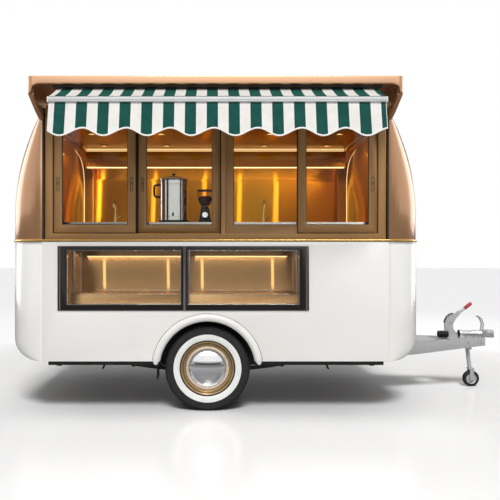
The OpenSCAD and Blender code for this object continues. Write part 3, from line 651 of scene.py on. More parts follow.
def make_awning_roof():
    """The sloping cloth, which sags a little between the roller and the bar."""
    start = Vector((0, NEAR - 0.262, 2.3285))
    run = Vector((0, BAR_Y - 0.002, BAR_HIGH + 0.004)) - start
    up = Vector((0, run.z, -run.y)).normalized()
    columns, steps, half_thick = 120, 16, 0.001
    rows = []
    for i in range(columns + 1):
        x = -CLOTH_HALF + 2 * CLOTH_HALF * i / columns
        row = []
        for k in [*range(steps + 1), *range(steps, -1, -1)]:
            thick = half_thick if len(row) <= steps else -half_thick
            sag = (0.0012 * sin(x * 31 + 2) - 0.004) * sin(pi * k / steps)
            row.append(X * (AWNING_X + x) + start + run * (k / steps) + up * (thick + sag))
        rows.append(row)
    roof = Shape().grid(rows).piece("awning_cloth", "cloth", "awning_cloth",
                                    replaces="awning_canopy")


def make_awning_valance():
    """The hanging cloth with its scalloped edge, bound in white all round."""
    columns, hem, top = 460, 0.011, BAR_LOW - 0.0005
    down = Vector((0, -sin(LEAN), -cos(LEAN)))
    out = Vector((0, -cos(LEAN), sin(LEAN)))
    rows = []
    for i in range(columns + 1):
        x = -CLOTH_HALF + 2 * CLOTH_HALF * i / columns
        length = valance_length(x)
        edge = min(1.0, (CLOTH_HALF - abs(x)) / 0.01)
        stops = [(length * 0.96 * k / 9, 0.001) for k in range(9)]
        stops += [(length - hem, 0.001), (length - hem, 0.0019), (length - 0.001, 0.0019),
                  (length, 0.0008)]
        here = Vector((AWNING_X + x, BAR_Y, top))
        row = []
        for side in (1, -1):
            for far, thick in stops[::side]:
                wave = 0.0022 * sin(x * 43 + 1) * (far / length) ** 2 * edge
                row.append(here + down * far + out * (side * thick + wave - 0.001))
        rows.append(row)
    shape = Shape().grid(rows)
    width = len(rows[0])
    bound = range(9, 16)
    for i in range(columns * width):
        shape.slots[i] = int(i % width in bound)
    valance = shape.piece("awning_valance", "cloth binding", "awning_cloth", sharp=60)
    welt = Shape()
    for side in SIDES:
        corner = Vector((AWNING_X + side * (CLOTH_HALF + 0.0005), BAR_Y, top)) - out * 0.001
        end = valance_length(CLOTH_HALF * side) - 0.002
        welt.tube([corner + down * far for far in (0.001, 0.08, 0.16, end)], 0.0022, 8)
    welt.piece("valance_side_binding", "binding", "awning_cloth")


# ---- Windows ----

# Left and right edge and outer face of each sash
WINDOWS = {"window_1": (-1.197, -0.592, NEAR + 0.015), "window_2": (-0.575, 0.035, NEAR + 0.049),
           "window_3": (0.074, 0.672, NEAR + 0.049), "window_4": (0.612, 1.197, NEAR + 0.015)}
BAY_LOW, BAY_HIGH = 1.322, 2.196
PULL_Z = 1.688  # height of the window pulls


def frame_ring(shape, x0, x1, z0, z1, width, y0, y1):
    """A rectangular frame seen from the side, inside the given edges."""
    rows = []
    corners = [(x0, z0, 1, 1), (x1, z0, -1, 1), (x1, z1, -1, -1), (x0, z1, 1, -1)]
    for x, z, a, b in corners:
        u, v = x + a * width, z + b * width
        rows.append([(x, y0, z), (u, y0, v), (u, y1, v), (x, y1, z)])
    return shape.grid(rows, loop=True)


def capsule(x, z, radius, half):
    """Outline of an upright capsule as (x, z)."""
    top = arc((x, z + half - radius), radius, 0, 180, 12)
    bottom = arc((x, z - half + radius), radius, 180, 360, 12)
    return top + bottom


def make_window_fittings():
    for name, (x0, x1, front) in WINDOWS.items():
        body = "trailer" if name == "window_3" else name
        edge = 0.0575
        low, high = BAY_LOW + 0.0055, BAY_HIGH - 0.0055
        gasket, brush = Shape(), Shape()
        frame_ring(gasket, x0 + edge, x1 - edge, low + edge, high - edge, 0.006,
                   front + 0.007, front + 0.0205)
        gasket.piece(f"{name}_gasket", "seal", "black_rubber", body)
        for x in (x0 - 0.003, x1 - 0.001):
            brush.box((x, front + 0.004, low + 0.001), (x + 0.004, front + 0.022, high - 0.001))
        brush.piece(f"{name}_brush_seal", "seal", "black_rubber", body)
    # Posts behind the gaps between sashes, in a darker bronze that is painted shade.
    posts = Shape()
    for x0, x1 in ((-0.604, -0.563), (0.026, 0.08)):
        posts.box((x0, NEAR + 0.082, BAY_LOW), (x1, NEAR + 0.096, BAY_HIGH))
    posts.piece("window_posts", "gap_shade_bronze", "bronze_frame", bevel=0.001)
    for name, x, mark in (("window_1", -1.167, "a"), ("window_1", -0.622, "b"),
                          ("window_2", -0.545, "a"), ("window_4", 1.167, "a")):
        front = WINDOWS[name][2]
        outer, inner = capsule(x, PULL_Z, 0.0105, 0.053), capsule(x, PULL_Z, 0.0062, 0.0487)
        rim = ((outer, 0.001), (outer, -0.0009), (inner, -0.0009), (inner, -0.0002))
        rows = [[(u, front + y, v) for u, v in line] for line, y in rim]
        shape = Shape().grid(rows, caps=False)
        shape.paint(1).prism(inner, "y", front - 0.0003, front + 0.001)
        shape.paint(2).box((x - 0.003, front - 0.0006, PULL_Z - 0.004),
                           (x + 0.003, front + 0.001, PULL_Z + 0.016))
        shape.piece(f"{name}_pull_{mark}", "seal frame black", "black_rubber", name)


def make_body_seams():
    """Rubber in the rebate beside the window frame."""
    shape = Shape()
    for side in SIDES:
        shape.box((side * (SEAM - 0.013), NEAR + 0.004, WAIST_Z + 0.009),
                  (side * SEAM, NEAR + 0.03, 2.245))
    shape.piece("window_frame_seal", "seal", "black_rubber")


# ---- Lining and lights of the cabin ----

COVE_Y = HALF_W - 0.45
# An arch band as (y, z), from the far wall over the ceiling to the visor
ARCH = ((0.905, 1.412), (0.905, 1.66), (0.9, 1.84), (0.88, 1.95), (0.8, 2.05),
        (0.62, 2.12), (0.3, 2.158), (-0.1, 2.166), (-0.5, 2.168), (-0.88, 2.168))
ARCH_X = (1.24, 1.322)
LOCKER_HALF = 1.25  # half the overhead locker's length


def cove_height(y):
    """Height of the lining over y, below the flat ceiling sheet."""
    reach = 0.16 - max(0.0, y - COVE_Y) ** 2
    return min(2.184, 1.88 + sqrt(max(0.0, reach)))


def make_cabin_trim():
    """Arch bands at the end seams with panels over them, mouldings and the cabin's lights."""
    path = smooth_path(ARCH, 6)
    back = []
    for i, p in enumerate(path):
        ahead = (path[min(i + 1, len(path) - 1)] - path[max(i - 1, 0)]).normalized()
        back.append(p + Vector((ahead.y, -ahead.x)) * 0.006)
    bands, edges, glow = Shape(), Shape(), Shape()
    for side in SIDES:
        a, b = side * ARCH_X[0], side * ARCH_X[1]
        inside = a + side * 0.002
        bands.paint(0).grid([[(a, *p), (b, *p), (b, *q), (a, *q)] for p, q in zip(path, back)])
        for x in (a, b):
            edges.tube([(x, *p) for p in path], 0.003, 8)
        rows = []
        for p in path:
            top = max(p.y + 0.002, cove_height(p.x))
            rows.append([(a, *p), (a, p.x, top), (inside, p.x, top), (inside, *p)])
        bands.paint(1).grid(rows)
        glow.tube([(b + side * 0.006, *p) for p in back], 0.0035, 8)
    bands.piece("arch_bands", "arch gold", "gold_lining")
    glow.piece("arch_light_strips", "led_soft", "glass")

    locker = Shape()
    locker.box((-LOCKER_HALF, 0.5665, 2.001), (LOCKER_HALF, 0.5705, 2.064))
    for slot, moulding, radius in (
            (1, [(0.571, 2.066), (0.5655, 2.07), (0.5655, 2.104), (0.571, 2.108)], 0.003),
            (0, [(0.571, 2.11), (0.5685, 2.113), (0.5685, 2.163), (0.571, 2.166)], 0.002)):
        locker.paint(slot).prism(rounded(moulding, radius), "x", -LOCKER_HALF, LOCKER_HALF)
    locker.piece("locker_mouldings", "arch gold", "gold_lining")

    edge_y, ceiling = 0.79, 2.1815
    edges.tube([(-1.248, edge_y, ceiling), (1.248, edge_y, ceiling)], 0.003, 8)
    for side in SIDES:
        x = side * 1.2475
        edges.tube([(x, edge_y, ceiling), (x, NEAR + 0.12, ceiling)], 0.003, 8)
    for x in (-0.627, 0.637):
        edges.box((x - 0.002, 0.9555, 1.35), (x + 0.002, 0.9585, 2.03))
    edges.piece("lining_trims", "brass", "brass_trim")

    lights, spots, rings = Shape(), Shape(), Shape()
    for slot, y, z0, z1 in ((0, 0.564, 2.168, 2.1755), (0, 0.564, 2.152, 2.158),
                            (1, 0.5665, 1.989, 2.000)):
        lights.paint(slot).box((-1.24, y, z0), (1.24, (0.5695, 0.58)[slot], z1))
    lights.piece("light_strips", "led_soft led", "glass", bevel=0.001)
    for x in (-1.05, -0.46, 0.0, 0.46, 1.05):
        for y in (0.42, -0.25):
            spots.lathe([(0, ceiling), (0.024, ceiling), (0.024, 2.184), (0, 2.184)],
                        (x, y, 0), "z", 24)
            rings.lathe([(0.024, 2.179), (0.036, 2.181), (0.036, 2.186), (0.024, 2.186)],
                        (x, y, 0), "z", 24)
    spots.piece("ceiling_spots", "led_soft", "glass")
    rings.piece("spot_rings", "brass", "brass_trim")


# ---- Display case ----

CASE_X = (-1.166, 0.69)
CASE_Z = (0.752, 1.229)
CASE_SPLIT = -0.229  # the divider between its two cells
CASE_BACK = NEAR + 0.728
STEP_Y, STEP_Z = NEAR + 0.24, CASE_Z[0] + 0.106
CELLS = ((CASE_X[0] + 0.042, CASE_SPLIT - 0.01), (CASE_SPLIT + 0.01, CASE_X[1] - 0.042))
PANES = ((CASE_X[0] + 0.069, CASE_SPLIT - 0.026), (CASE_SPLIT + 0.026, CASE_X[1] - 0.072))


def make_display_fittings():
    face = NEAR - 0.008
    low, high = CASE_Z
    trim, seal = Shape(), Shape()
    for x0, x1 in PANES:
        frame_ring(trim, x0 - 0.001, x1 + 0.001, low + 0.044, high - 0.03, 0.0035,
                   face - 0.0005, face + 0.04)
        frame_ring(seal, x0, x1, low + 0.045, high - 0.031, 0.004, NEAR + 0.0325, NEAR + 0.0395)
    trim.box((CASE_SPLIT - 0.008, face - 0.0015, low), (CASE_SPLIT + 0.008, face + 0.002, high))
    for x in (CASE_X[0] + 0.011, CASE_X[1] - 0.021):
        trim.box((x, face - 0.0012, low), (x + 0.01, face + 0.002, high))
    trim.piece("display_bright_trims", "steel_z", "steel", bevel=0.0006)
    for x in (CASE_X[0] + 0.024, CASE_X[1] - 0.03):
        seal.box((x, face - 0.0004, low + 0.004), (x + 0.006, face + 0.002, high - 0.004))
    for z in (low + 0.0035, high - 0.0085):
        seal.box((CASE_X[0] + 0.024, face - 0.0004, z),
                 (CASE_X[1] - 0.024, face + 0.002, z + 0.005))
    seal.piece("display_seals", "seal", "black_rubber")

    fittings, slots, lights = Shape(), Shape(), Shape()
    rail_y, back = NEAR + 0.33, CASE_BACK
    for x0, x1 in CELLS:
        fittings.box((x0, STEP_Y - 0.003, STEP_Z - 0.002), (x1, STEP_Y + 0.004, STEP_Z + 0.002))
        fittings.box((x0, STEP_Y - 0.002, low + 0.03), (x1, STEP_Y + 0.001, low + 0.036))
        fittings.box((x0, back - 0.006, STEP_Z), (x1, back, STEP_Z + 0.006))
        for side, x in ((1, x0), (-1, x1)):
            for y in (rail_y, back - 0.06):
                fittings.box((x, y - 0.01, STEP_Z), (x + side * 0.006, y + 0.01, high - 0.04))
                for k in range(12):
                    z = STEP_Z + 0.025 + 0.024 * k
                    # Black boxes for the rails' slots: painted shade in the holes.
                    slots.box((x, y - 0.003, z), (x + side * 0.0066, y + 0.003, z + 0.014))
            rod = x + side * 0.012
            fittings.tube([(rod, rail_y, STEP_Z + 0.001), (rod, rail_y, high - 0.03)], 0.005, 12)
            for z in (high - 0.045, STEP_Z + 0.012):
                fittings.lathe([(0.005, -0.008), (0.011, -0.008), (0.011, 0.008), (0.005, 0.008)],
                               (rod, rail_y, z), "z", 16)
        fittings.paint(1).box((x0, back - 0.045, 1.15), (x1, back - 0.042, high - 0.015))
        fittings.paint(0)
        lights.box((x0 + 0.05, back - 0.044, 1.1425), (x1 - 0.05, back - 0.032, 1.1495))
    fittings.piece("display_fittings", "steel_z case", "steel", bevel=0.0005)
    slots.piece("display_rail_slots", "black", "black_metal")
    lights.piece("display_light_strips", "led", "glass", bevel=0.001)


# ---- Kitchen ----

SINK_X = (-0.812, 0.393)


def make_urn(x, y, z):
    """Coffee urn with its base, bands, lid, tap and one handle."""
    shape = Shape()

    def turn(profile, count=64):
        shape.lathe(profile, (x, y, z), "z", count)

    turn([(0, 0), (0.118, 0), (0.118, 0.018), (0.112, 0.022), (0, 0.022)])
    shape.paint(1)
    turn([(0, 0.022), (0.11, 0.022), (0.11, 0.33), (0.113, 0.334), (0.114, 0.342), (0.11, 0.346),
          (0.1, 0.35), (0.066, 0.364), (0.03, 0.367), (0, 0.367)], 96)
    for height in (0.045, 0.3):
        turn([(0.109, height - 0.003), (0.1115, height), (0.109, height + 0.003)])
    shape.tube([(x, y - 0.106, z + 0.05), (x, y - 0.118, z + 0.05)], 0.014, 20)
    shape.paint(0)
    turn([(0, 0.365), (0.008, 0.365), (0.007, 0.375), (0.014, 0.382), (0.012, 0.39), (0, 0.39)], 32)
    handle = [(-0.106, 0.205), (-0.136, 0.207), (-0.153, 0.222), (-0.154, 0.282), (-0.144, 0.297),
              (-0.106, 0.3)]
    shape.tube(smooth_path([(x + u, y, z + v) for u, v in handle], 5), 0.009)
    shape.tube([(x, y - 0.118, z + 0.05), (x, y - 0.118, z + 0.078)], 0.007)
    shape.piece("urn", "plastic steel_z", "steel", replaces="coffee_urn", sharp=28)


def make_grinder(x, y, z):
    """Coffee grinder: foot, dial and spout, beans, and a glass hopper with its lid."""
    shape, hopper = Shape(), Shape()

    def turn(profile):
        shape.lathe(profile, (x, y, z), "z", 40)

    foot = rounded(rectangle(-0.052, 0.052, -0.066, 0.066), 0.02)
    levels = ((0, 1.0), (0.012, 1.0), (0.02, 0.9), (0.075, 0.72), (0.108, 0.66), (0.12, 0.56))
    shape.grid([[(x + u * scale, y + v * scale, z + height) for u, v in foot]
                for height, scale in levels])
    shape.paint(1)
    turn([(0, 0.118), (0.03, 0.118), (0.034, 0.124), (0.03, 0.134), (0, 0.134)])
    dial = [(0, -0.08), (0.021, -0.08), (0.024, -0.074), (0.024, -0.05), (0, -0.05)]
    shape.lathe(dial, (x, y, z + 0.062), "y", 32)
    shape.paint(2)
    turn([(0, 0.132), (0.024, 0.134), (0.04, 0.152), (0.056, 0.186), (0.0575, 0.2), (0.03, 0.212),
          (0, 0.214)])
    shape.paint(0)
    turn([(0.0575, 0.252), (0.063, 0.252), (0.063, 0.26), (0.04, 0.264), (0, 0.264), (0, 0.258),
          (0.0575, 0.257)])
    shape.piece("grinder", "plastic chrome beans", "black_plastic", replaces="coffee_grinder",
                sharp=28)
    hopper.lathe([(0.0265, 0.133), (0.042, 0.15), (0.0585, 0.186), (0.061, 0.2), (0.061, 0.252),
                  (0.0595, 0.252), (0.0595, 0.2), (0.057, 0.186), (0.0405, 0.151), (0.025, 0.135)],
                 (x, y, z), "z", 40)
    hopper.piece("grinder_hopper", "hopper", "glass").visible_shadow = False


def make_sinks(z):
    """Swan-neck taps and the rims of the sinks."""
    taps, sinks = Shape(), Shape()
    y, middle = NEAR + 0.52, NEAR + 0.35
    for x in SINK_X:
        taps.lathe([(0, 0), (0.019, 0), (0.019, 0.006), (0.0125, 0.01), (0.0125, 0.062),
                    (0.0098, 0.066), (0, 0.066)], (x, y, z), "z", 32)
        neck = [(x, y, z + 0.06), (x, y, z + 0.15)]
        neck += [(x, y - 0.046 + u, z + 0.15 + v) for u, v in arc((0, 0), 0.046, 0, 180, 16)]
        neck += [(x, y - 0.092, z + 0.135)]
        taps.tube(neck, 0.008, 16)
        taps.tube([(x, y - 0.092, z + 0.14), (x, y - 0.092, z + 0.128)], 0.0098, 16)
        taps.tube([(x, y, z + 0.042), (x + 0.048, y, z + 0.064)], [0.006, 0.0045], 12)
        taps.tube([(x + 0.046, y, z + 0.063), (x + 0.0535, y, z + 0.0665)], 0.0065, 12)
        for u0, u1, v0, v1 in ((-0.178, 0.178, -0.138, -0.128), (-0.178, 0.178, 0.128, 0.138),
                               (-0.178, -0.168, -0.128, 0.128), (0.168, 0.178, -0.128, 0.128)):
            sinks.box((x + u0, middle + v0, z - 0.001), (x + u1, middle + v1, z + 0.0015))
        sinks.lathe([(0, 0), (0.022, 0), (0.024, 0.002), (0, 0.002)], (x, middle, 1.25), "z", 24)
    taps.piece("taps", "brass", "brass_trim", replaces="counter_taps")
    sinks.piece("sink_rims", "steel_z", "steel", bevel=0.0006)


# ---- Wheels ----

TYRE_R, WHEEL_Y, AXLE_X = 0.317, 0.8645, -0.06
ARCH_R = 0.385  # radius of the wheel arch


def make_tyre(side, body):
    """Tread with grooves all round, cut across at the shoulders, and a white band outside."""
    shoulder = [(0.317, 0.064), (0.3165, 0.072), (0.314, 0.08), (0.309, 0.0875), (0.302, 0.0935)]
    wall = [(0.296, 0.0962), (0.291, 0.0955), (0.286, 0.0968), (0.272, 0.0972), (0.257, 0.097),
            (0.235, 0.0955), (0.22, 0.0915), (0.21, 0.087), (0.2075, 0.084), (0.205, 0.078),
            (0.1995, 0.076)]
    tread = []
    for centre in (0.046, 0.016, -0.016, -0.046):
        tread += [(0.317, centre + 0.005), (0.3105, centre + 0.0035), (0.3105, centre - 0.0035),
                  (0.317, centre - 0.005)]
    inside = [(r, -s) for r, s in shoulder + wall]
    bore = [(0.2005, -0.07), (0.29, -0.066), (0.29, 0.066), (0.2005, 0.07)]
    profile = wall[::-1] + shoulder[::-1] + tread + inside + bore
    rows = []
    for k in range(288):
        turn = 2 * pi * k / 288
        row = []
        for r, s in profile:
            if 0.07 < abs(s) < 0.094 and r > 0.3 and k % 6 < 2:
                r -= 0.0045
            row.append((AXLE_X + r * cos(turn), side * (WHEEL_Y + s),
                        TYRE_R + r * sin(turn)))
        rows.append(row)
    shape = Shape().grid(rows, loop=True)
    white = [(0.253, 0.0966), (0.2525, 0.0975), (0.244, 0.0974), (0.228, 0.0962), (0.214, 0.0915),
             (0.2085, 0.0885), (0.2085, 0.084), (0.22, 0.0885), (0.235, 0.093)]
    shape.paint(1).lathe([(r, side * s) for r, s in white], (AXLE_X, side * WHEEL_Y, TYRE_R),
                         "y", 128)
    shape.piece(f"{body}_whitewall_tyre", "rubber whitewall", "tyre", body,
                replaces=body.replace("road_wheel", "tyre"), sharp=28)


def make_wheel(side, body):
    """Pressed rim, a pale gold band, and a chrome dome with its beading over the hub plate."""
    shape = Shape()

    def ring(slot, profile, count=128):
        centre = (AXLE_X, side * WHEEL_Y, TYRE_R)
        shape.paint(slot).lathe([(r, side * s) for r, s in profile], centre, "y", count)

    ring(0, [(0.1985, 0.0895), (0.1935, 0.09), (0.1895, 0.087), (0.1865, 0.076), (0.1855, 0.03),
             (0.183, -0.05), (0.186, -0.09), (0.1985, -0.09), (0.199, -0.084), (0.199, 0.084)])
    ring(0, [(0.187, 0.062), (0.183, 0.068), (0.176, 0.0715), (0.169, 0.07), (0.165, 0.064),
             (0.1635, 0.064), (0.1635, 0.034), (0.187, 0.034)])
    ring(1, [(0.1625, 0.058), (0.162, 0.068), (0.158, 0.072), (0.149, 0.074), (0.1415, 0.0725),
             (0.1395, 0.066), (0.1395, 0.04), (0.1625, 0.04)])
    ring(2, [(0.1375, 0.06), (0.1372, 0.0665), (0.135, 0.069), (0.1325, 0.068), (0.1315, 0.065),
             (0.129, 0.065), (0.128, 0.0675), (0.1262, 0.068), (0.1262, 0.05), (0.1375, 0.05)])
    bulge, edge, top = 0.34, 0.1265, 0.088
    radii = [edge * sin(radians(a)) for a in range(0, 91, 6)]
    dome = [(r, top - bulge + sqrt(bulge ** 2 - r ** 2)) for r in radii]
    ring(2, [*dome, (edge, 0.05), (0, 0.05)])
    ring(3, [(0, -0.02), (0.056, -0.02), (0.056, 0.03), (0.186, 0.03), (0.186, 0.036),
             (0, 0.036)], 48)
    shape.piece(f"{body}_steel_wheel", "wheel wheel_light chrome black", "gold_wheel", body,
                replaces=body.replace("road_wheel", "wheel"), sharp=24)


def make_arch_lips():
    """Half-round lips over the wheels, pinched at both ends, and the joint line above each."""
    shape, line = Shape(), Shape()
    steps, lip = 120, 0.0285
    for side in SIDES:
        rows = []
        for k in range(steps + 1):
            a = radians(4.6 + (175.4 - 4.6) * k / steps)
            out = Vector((cos(a), 0, sin(a)))
            here = Vector((AXLE_X, side * (HALF_W - 0.0005), TYRE_R)) + out * ARCH_R
            near_end = 1 - (1 - min(1, min(k, steps - k) / 7)) ** 2
            r = lip * sqrt(max(0.0025, near_end)) * 0.965
            rows.append([here + out * (r * cos(t)) + Y * (side * r * max(-0.4, sin(t)))
                         for t in [2 * pi * j / 28 for j in range(28)]])
        shape.grid(rows)
        points = arc((AXLE_X, TYRE_R), ARCH_R + lip, 9, 171, 90)
        line.tube([(x, side * HALF_W, z) for x, z in points], 0.0012, 6)
    shape.piece("arch_lips", "white", "white_panel", sharp=50, replaces="arch_flares")
    line.piece("arch_joint_lines", "seal", "black_rubber")


# ---- Drawbar and coupling ----


def hex_bolt(shape, place, ahead, radius, height):
    """A six-sided head on a washer."""
    start = Vector(place)
    shape.tube([start, start + ahead * height], radius, 6)
    shape.tube([start - ahead * 0.001, start + ahead * 0.0015], radius * 1.5, 20)


def make_brake_lever():
    """Handbrake: two side plates, the lever between them, a toothed arc and a red grip."""
    shape = Shape()
    plate = [(2.04, 0.4425), (2.026, 0.48), (2.019, 0.54), (2.034, 0.593), (2.062, 0.622),
             (2.099, 0.64), (2.12, 0.645), (2.15, 0.64), (2.12, 0.612), (2.1, 0.59),
             (2.093, 0.557), (2.097, 0.504), (2.128, 0.468), (2.141, 0.4425)]
    inner = [(x + (2.085 - x) * 0.06, z + (0.54 - z) * 0.03) for x, z in plate]
    cheek = [(2.066, 0.56), (2.095, 0.545), (2.112, 0.585), (2.165, 0.65), (2.15, 0.668),
             (2.1, 0.632)]
    shape.prism(rounded(inner, 0.03, 4), "y", -0.0066, 0.0066)
    shape.prism(rounded(rectangle(2.04, 2.14, -0.022, 0.022), 0.008), "z", 0.4285, 0.436)
    shape.box((2.05, -0.014, 0.434), (2.135, 0.014, 0.454))
    shape.tube([(2.104, 0, 0.612), (2.13, 0, 0.634), (2.196, 0, 0.684)],
               [0.0125, 0.0125, 0.0115], 20)
    for side in SIDES:
        shape.prism(rounded(plate, 0.03, 4), "y", side * 0.0065, side * 0.0095)
        shape.prism(rounded(cheek, 0.014), "y", side * 0.0095, side * 0.0125)
        for x, z in ((2.078, 0.566), (2.118, 0.466), (2.055, 0.466)):
            hex_bolt(shape, (x, side * 0.0095, z), Y * side, 0.0065, 0.006)
    shape.paint(1)
    pivot = Vector((2.105, 0.555))
    for point in arc(pivot, 0.0895, 178, 96, 26)[:-1]:
        out = (Vector(point) - pivot).normalized()
        along = Vector((-out.y, out.x))
        tooth = ((-0.003, -0.006), (-0.003, 0.0015), (0, 0.0035), (0.002, 0.0015),
                 (0.002, -0.006))
        shape.prism([tuple(Vector(point) + along * u + out * v) for u, v in tooth], "y",
                    -0.0058, 0.0058)
    grip = [(2.196, 0, 0.684), (2.2, 0, 0.687), (2.25, 0, 0.7265), (2.257, 0, 0.732)]
    shape.paint(2).tube(grip, [0.0135, 0.0155, 0.0155, 0.012], 24)
    shape.piece("brake_lever", "zinc black red", "galvanised", bevel=0.0008, replaces="handbrake")


def make_coupling_fittings():
    boot, bolts, dark_band = Shape(), Shape(), Shape()
    profile = [(0.012, -0.052)]
    for k in range(6):
        x = -0.05 + 0.0155 * k
        profile += [(0.0255, x), (0.0315, x + 0.004), (0.0315, x + 0.008), (0.0255, x + 0.0125)]
    boot.lathe([*profile, (0.012, 0.044)], (2.012, 0, 0.4585), "x", 40)
    boot.lathe([(0.01, 0), (0.0335, 0), (0.0335, 0.012), (0.01, 0.012)], (2.143, 0, 0.462),
               "x", 40)
    boot.piece("coupling_boot", "rubber", "black_rubber", sharp=40)
    for side in SIDES:
        for x, y in ((1.57, 0.2), (1.85, 0.13), (2.08, 0.085), (2.2, 0.06), (2.32, 0.035)):
            hex_bolt(bolts, (x, side * y, 0.428), Z, 0.008, 0.006)
        for x in (1.6, 2.2, 2.32):
            y = 0.3 + (0.044 - 0.3) * (x - 1.345) / (2.364 - 1.345)
            hex_bolt(bolts, (x, y * side, 0.395), Y * side, 0.008, 0.006)
        for x in (2.215, 2.262, 2.31):
            hex_bolt(bolts, (x, side * 0.029, 0.44), Y * side, 0.006, 0.004)
        # A black strip along each side of the coupling head: a painted dark reflection.
        dark_band.box((2.18, side * 0.0306, 0.4545), (2.345, side * 0.0316, 0.4585))
    hex_bolt(bolts, (2.342, -0.017, 0.484), -Y, 0.006, 0.004)
    bolts.piece("drawbar_bolts", "zinc_bright", "galvanised")
    dark_band.piece("coupling_painted_dark_band", "black", "black_metal")


def make_jockey_wheel():
    low, high = local("jockey_wheel")
    centre = (low + high) / 2
    radius = (high.z - low.z) / 2
    tread = [(0.046, -0.02), (0.056, -0.022), (0.064, -0.021), (radius, -0.013)]
    rim = [(0.008, -0.022), (0.016, -0.022), (0.018, -0.014), (0.036, -0.01), (0.043, -0.017),
           (0.0475, -0.019)]
    shape = Shape()
    for slot, half in enumerate((tread, rim)):
        profile = half + [(r, -s) for r, s in half[::-1]]
        shape.paint(slot).lathe(profile, centre, "y", 72)
    shape.tube([centre - Y * 0.04, centre + Y * 0.04], 0.008, 24)
    shape.piece("jockey_tyre", "rubber zinc", "black_rubber", "jockey_wheel",
                replaces="jockey_wheel")


# ---- Rear end and underside ----


def make_rear():
    """Round lamps with ringed lenses, the blank number plate, the door's seals and handle."""
    back = local("rear_cap_lower")[0].x
    lamps, plate, seal, handle = Shape(), Shape(), Shape(), Shape()
    for side in SIDES:
        for slot, z, radius, stand in ((1, 0.64, 0.058, 0.026), (2, 0.78, 0.04, 0.02)):
            place, inner, rim = (back, side * 0.59, z), radius - 0.007, -stand * 0.62

            def crown(part):
                """How far the lens stands out at a part of its radius."""
                return rim - stand * 0.36 * (1 - part ** 2)

            lamps.paint(0).lathe([(inner, 0), (radius - 0.001, 0), (radius - 0.001, -stand * 0.5),
                                  (inner, rim)], place, "x", 64)
            lens = [(0, 0), (inner, 0), (inner, rim)]
            lens += [((radius - 0.009) * k / 8, crown(k / 8)) for k in range(7, -1, -1)]
            lamps.paint(slot).lathe(lens, place, "x", 64)
            for k in range(1, 4):
                r = (radius - 0.012) * k / 4
                top = crown(r / (radius - 0.009))
                lamps.lathe([(r - 0.001, top + 0.001), (r, top - 0.0012), (r + 0.001, top + 0.001)],
                            place, "x", 64)
        seal.box((back + 0.006, side * 0.347, 0.443), (back + 0.03, side * 0.353, 1.26))
    lamps.piece("round_tail_lamps", "chrome red_lens amber_lens", "red_lens",
                replaces="rear_lamps", sharp=40)
    holder = rounded(rectangle(-0.26, 0.26, 0.395, 0.505), 0.012)
    blank = rounded(rectangle(-0.254, 0.254, 0.4, 0.5), 0.01)
    plate.prism(holder, "x", back - 0.004, back + 0.0005)
    plate.paint(1).prism(blank, "x", back - 0.0055, back - 0.0035)
    plate.piece("number_plate_blank", "plastic plate", "black_plastic", bevel=0.0006)
    seal.piece("door_seal", "seal", "black_rubber")
    grip_y = -0.292
    grip = ((0.001, 1.09), (-0.014, 1.092), (-0.019, 1.11), (-0.019, 1.19), (-0.014, 1.208),
            (0.001, 1.21))
    handle.tube(smooth_path([(back + u, grip_y, z) for u, z in grip], 6), 0.0068, 16)
    handle.lathe([(0, 0), (0.013, 0), (0.013, -0.006), (0.009, -0.009), (0, -0.009)],
                 (back, grip_y, 1.03), "x", 28)
    handle.piece("door_pull", "chrome", "steel", "rear_door")


def make_underside():
    """Flanges below the wheel boxes, with the ends of the spring bolts showing past them."""
    flanges, bolts = Shape(), Shape()
    for side in SIDES:
        for end in SIDES:
            flanges.box((AXLE_X + end * 0.392, side * 0.717, 0.303),
                        (AXLE_X + end * 0.325, side * 0.727, 0.38))
        for x, z, half in ((-0.432, 0.3175, 0.014), (0.296, 0.3065, 0.024)):
            bolts.tube([(x - half, side * 0.733, z), (x + half, side * 0.733, z)], 0.0045, 12)
    flanges.piece("wheel_box_flanges", "black", "black_metal", bevel=0.002)
    bolts.piece("spring_bolts", "zinc", "light_metal")


make_visor()
make_awning_frame()
make_awning_roof()
make_awning_valance()
make_window_fittings()
make_body_seams()
make_cabin_trim()
make_display_fittings()
make_urn(-0.327, NEAR + 0.33, COUNTER_TOP)
make_grinder(-0.082, NEAR + 0.33, COUNTER_TOP)
make_sinks(COUNTER_TOP)
for wheel_side, wheel_body in ((-1, "right_road_wheel"), (1, "left_road_wheel")):
    make_tyre(wheel_side, wheel_body)
    make_wheel(wheel_side, wheel_body)
make_arch_lips()
make_brake_lever()
make_coupling_fittings()
make_jockey_wheel()
make_rear()
make_underside()

# ---- Floor and light ----


def make_floor():
    """A pale floor with a little gloss, which keeps the shadow; below the body its colour darkens
    as a painted shadow.
    """
    paint = Paint("studio_floor")
    rays = paint.add("LightPath").outputs
    # Below and around the body's footprint the floor's colour is darker: a painted shadow.
    size = paint.vector("ABSOLUTE", paint.vector("SUBTRACT", paint.place, MIDDLE))
    past = paint.vector("MAXIMUM", paint.vector("SUBTRACT", size, (0.8, 0.45, 0)))
    away = paint.vector("LENGTH", past, output="Value")
    open_floor = paint.between(away, 0, 1, 0, 1.15, interpolation_type="SMOOTHSTEP")
    pale = paint.mix(paint.noise(1.5), grey(0.88), grey(0.9))
    floor_with_painted_shadow = paint.mix(open_floor, (0.8, 0.79, 0.79, 1), grey(1.25))
    # Reflections see the floor in a darker grey than it is: a painted dark reflection.
    others = paint.mix(rays["Is Glossy Ray"], pale, grey(0.3))
    paint.link(paint.mix(rays["Is Camera Ray"], others, floor_with_painted_shadow), "Base Color")
    paint.link(paint.between(paint.noise(6), 0.16, 0.2), "Roughness")
    paint.link(paint.between(away, 0.2, 0.0, 1.2, 3.0), "Specular IOR Level")
    mesh = bpy.data.meshes.new("floor")
    corners = [(x, y, 0) for x, y in rectangle(-40, 40, -40, 40)]
    mesh.from_pydata(corners, [], [(0, 1, 2, 3)])
    mesh.materials.append(paint.material)
    add_object("floor", mesh)


